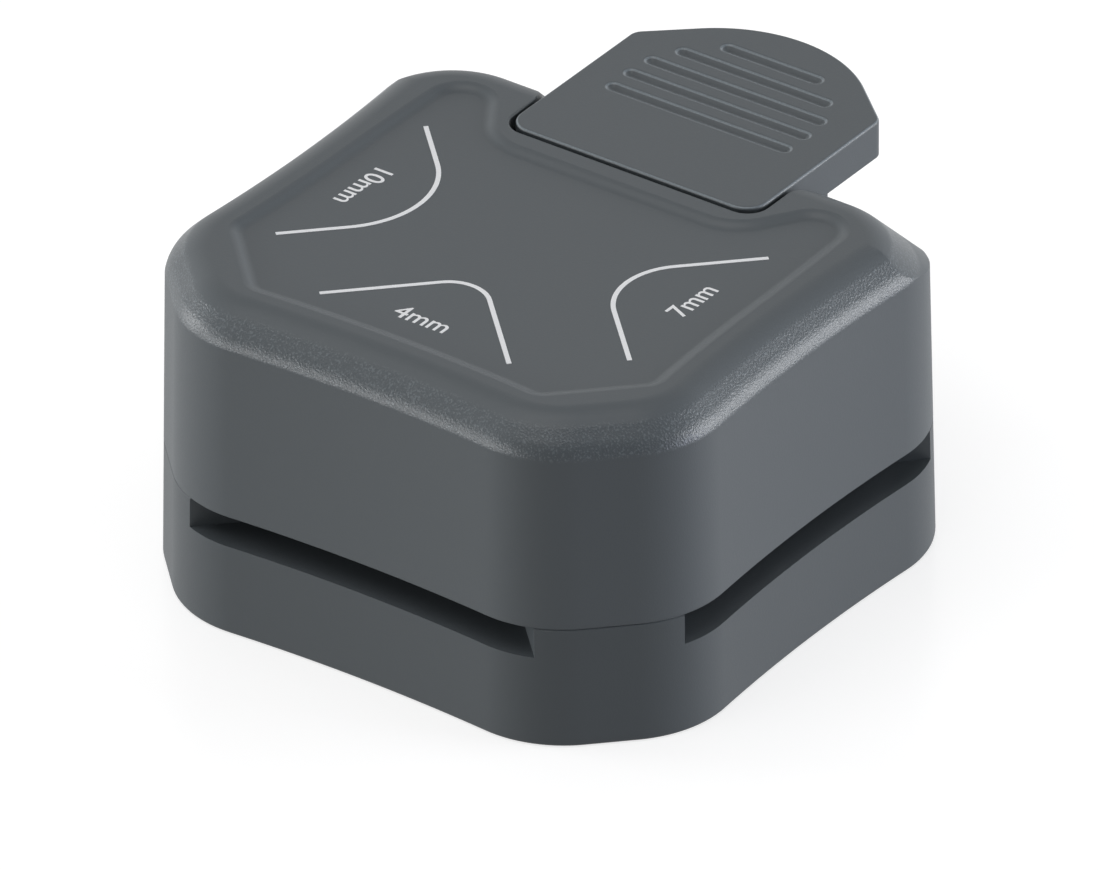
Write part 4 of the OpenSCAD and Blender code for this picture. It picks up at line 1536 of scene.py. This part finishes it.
@dataclass
class Studio:
    """Floor, light and the photograph's camera."""

    azimuth: float = 36.012
    elevation: float = 31.806
    roll: float = -0.441
    distance: float = 2.09556
    lens: float = 714.62
    sensor: float = 36.0
    view_end: float = 10.0
    rise: float = 10.015
    shift: float = -0.049
    backdrop: Triple = (-0.588, 0.809, 0.0)
    backdrop_edge: Pair = (-0.5, 0.6)
    backdrop_top: Pair = (0.42, 0.82)
    room: Pair = (0.12, 0.35)
    mirror: Pair = (0.2, 1.0)
    boxes: tuple[Softbox, ...] = (
        Softbox("left_front_strip", (-0.62, -1.05, 0.15), (0.8, 0.13), 5.0),
        Softbox("right_rear_strip", (0.95, 0.82, 0.1), (0.8, 0.14), 4.6, (0.97, 0.98, 1.0)),
        Softbox("right_rear_box", (1.05, 0.68, 0.38), (0.7, 0.36), 6.6, (0.95, 0.97, 1.0)),
        Softbox("right_low_box", (1.2, 0.35, 0.08), (0.4, 0.2), 2.2, (0.72, 0.76, 1.0)),
        Softbox("left_box", (-1.05, -0.4, 0.2), (0.4, 0.3), 4.0),
        Softbox("high_box", (-0.1, -0.2, 1.0), (0.9, 0.9), 4.5),
    )
    floor_colour: Triple = (0.5, 0.5, 0.5)
    floor_bounce: Triple = (0.13, 0.13, 0.13)
    floor_lift: float = 0.68
    floor_half: float = 4.0
    floor_roughness: float = 0.25
    floor_gloss: float = 0.3

    def axes(self) -> tuple[Vector, Vector, Vector]:
        """Works out the camera's axes.

        Returns:
            The directions to its right, its top and its back.
        """
        az, el, roll = (math.radians(angle) for angle in (self.azimuth, self.elevation, self.roll))
        back = Vector((math.sin(az) * math.cos(el), -math.cos(az) * math.cos(el), math.sin(el)))
        right = Vector((math.cos(az), math.sin(az), 0))
        up = back.cross(right)
        sin, cos = math.sin(roll), math.cos(roll)
        return right * cos + up * sin, up * cos - right * sin, back

    def place_camera(self) -> None:
        """Sets the camera at the photograph's view."""
        right, up, back = self.axes()
        camera = bpy.data.cameras.new("photo_camera")
        camera.lens = self.lens
        camera.sensor_width = self.sensor
        camera.clip_end = self.view_end
        obj = place_object("photo_camera", camera)
        turn = Matrix((right, up, back)).transposed().to_4x4()
        aim = (up * self.rise + right * self.shift) * MM
        obj.matrix_world = Matrix.Translation(aim + back * self.distance) @ turn
        bpy.context.scene.camera = obj

    @staticmethod
    def hang(box: Softbox) -> None:
        """Hangs a soft lamp that faces the object.

        Args:
            box: The lamp.
        """
        lamp = bpy.data.lights.new(box.name, "AREA")
        lamp.shape = "RECTANGLE"
        lamp.size, lamp.size_y = box.size
        lamp.energy = box.power
        lamp.color = box.colour
        obj = place_object(box.name, lamp)
        aim = Vector(box.place) - Vector(box.target)
        turn = aim.to_track_quat("Z", "Y").to_matrix().to_4x4()
        obj.matrix_world = Matrix.Translation(box.place) @ turn

    @staticmethod
    def shown(graph: Graph) -> tuple[Signal, Signal]:
        """Tells which rays show the background.

        Args:
            graph: Graph of the world or the floor.

        Returns:
            1 for rays from the camera, and 1 for rays that a gloss or a glass sends on.
        """
        def path(name: str) -> Signal:
            """One kind of ray."""
            return graph.node("ShaderNodeLightPath", {}, {}, name)
        return path("Is Camera Ray"), path("Is Glossy Ray") + path("Is Transmission Ray")

    def light(self) -> None:
        """Sets the world and the lamps."""
        world = bpy.data.worlds.new("studio")
        world.use_nodes = True
        bpy.context.scene.world = world
        graph = Graph(world.node_tree)
        camera, sent = self.shown(graph)
        toward = graph.node("ShaderNodeTexCoord", {}, {}, "Generated")
        behind = graph.node("ShaderNodeVectorMath", {"operation": "DOT_PRODUCT"},
                            {0: toward, 1: self.backdrop}, "Value")
        height = graph.node("ShaderNodeSeparateXYZ", {}, {"Vector": toward}, "Z")
        glow = behind.ramp(*self.backdrop_edge) * (1 - height.ramp(*self.backdrop_top))
        lit = self.room[0] + glow * (self.room[1] - self.room[0])
        gloss = self.mirror[0] + glow * (self.mirror[1] - self.mirror[0])
        rest = lit + sent * (gloss - lit)
        sky = graph.node("ShaderNodeBackground", {},
                         {"Color": (1, 1, 1, 1), "Strength": rest + camera * (1 - rest)})
        graph.node("ShaderNodeOutputWorld", {}, {"Surface": sky})
        for box in self.boxes:
            self.hang(box)

    def lay_floor(self) -> None:
        """Lays the pale floor that keeps the object's shadow."""
        bm = bmesh.new()
        bmesh.ops.create_grid(bm, x_segments=1, y_segments=1, size=self.floor_half)
        mesh = used_up(bm, "floor")
        material, graph = surface("pale_floor")
        camera, sent = self.shown(graph)
        base = graph.node("ShaderNodeBsdfPrincipled", {}, {
            "Base Color": graph.blend(camera, self.floor_bounce, self.floor_colour),
            "Roughness": self.floor_roughness,
            "Specular IOR Level": self.floor_gloss,
        })
        lift = (camera + sent) * self.floor_lift
        glow = graph.node("ShaderNodeEmission", {}, {"Color": (1, 1, 1, 1), "Strength": lift})
        both = graph.node("ShaderNodeAddShader", {}, {0: base, 1: glow})
        graph.node("ShaderNodeOutputMaterial", {}, {"Surface": both})
        mesh.materials.append(material)
        place_object("floor", mesh)

    def build(self) -> None:
        """Sets up the whole studio."""
        bpy.context.scene.view_settings.view_transform = "Standard"
        self.lay_floor()
        self.light()
        self.place_camera()


def main() -> None:
    """Builds the scene piece by piece."""
    logging.basicConfig(level=logging.INFO, format="%(name)s: %(message)s")
    body = BodyShape()
    # Darker copy of the shell's plastic, as painted shade on the base shell; the CAD plastic nodes
    # wear it too.
    shaded_charcoal = GrainedPlastic("charcoal_abs", linear(75, 81, 85)).material()
    # Shoulder plastic: its band over the shoulder has coarser grain with painted glints.
    shoulder = GrainedPlastic("charcoal_abs_grain_and_glints", linear(84, 90, 94),
                              band=(31.1, 34.3)).material()
    # Lever plastic: the pale band just under the tab's top, on its rounded edges and groove lips, is
    # a painted highlight with a few painted glints.
    lever_edge_highlit = GrainedPlastic("charcoal_abs_painted_edge_highlight", linear(84, 90, 94), band=(34.95, 35.09),
                             band_depth=0.012, band_fade=0.03, band_gloss=0.2, painted_glints=0.1,
                             painted_highlight=0.55, pale=2.9).material()
    ink = PrintInk("white_ink", linear(251, 252, 254)).material()
    Studio().build()
    upper = UpperHousing(body)
    pieces = [
        upper.dress(shoulder),
        BaseHousing(body).dress(shaded_charcoal),
        PressLever().dress(lever_edge_highlit),
    ]
    legends = (
        Legend(Side.LEFT, reach=21.08, middle=-2.86, half=12.15,
               text_reach=19.53, text_middle=-2.96),
        Legend(Side.FRONT, reach=21.36, middle=0.13, half=11.1,
               text_reach=19.66, text_middle=0.38),
        Legend(Side.RIGHT, reach=19.92, middle=2.96, half=11.35,
               text_reach=18.62, text_middle=2.16),
    )
    pieces += [legend.dress(ink, upper.panel_z) for legend in legends]
    inner = InnerParts(shaded_charcoal)
    pieces.append(ReturnSpring().dress(inner.finishes["return_spring"]))
    for piece in pieces:
        log.info("made %s with %d faces", piece.name, len(piece.data.polygons))
    inner.dress()


if __name__ == "__main__":
    main()
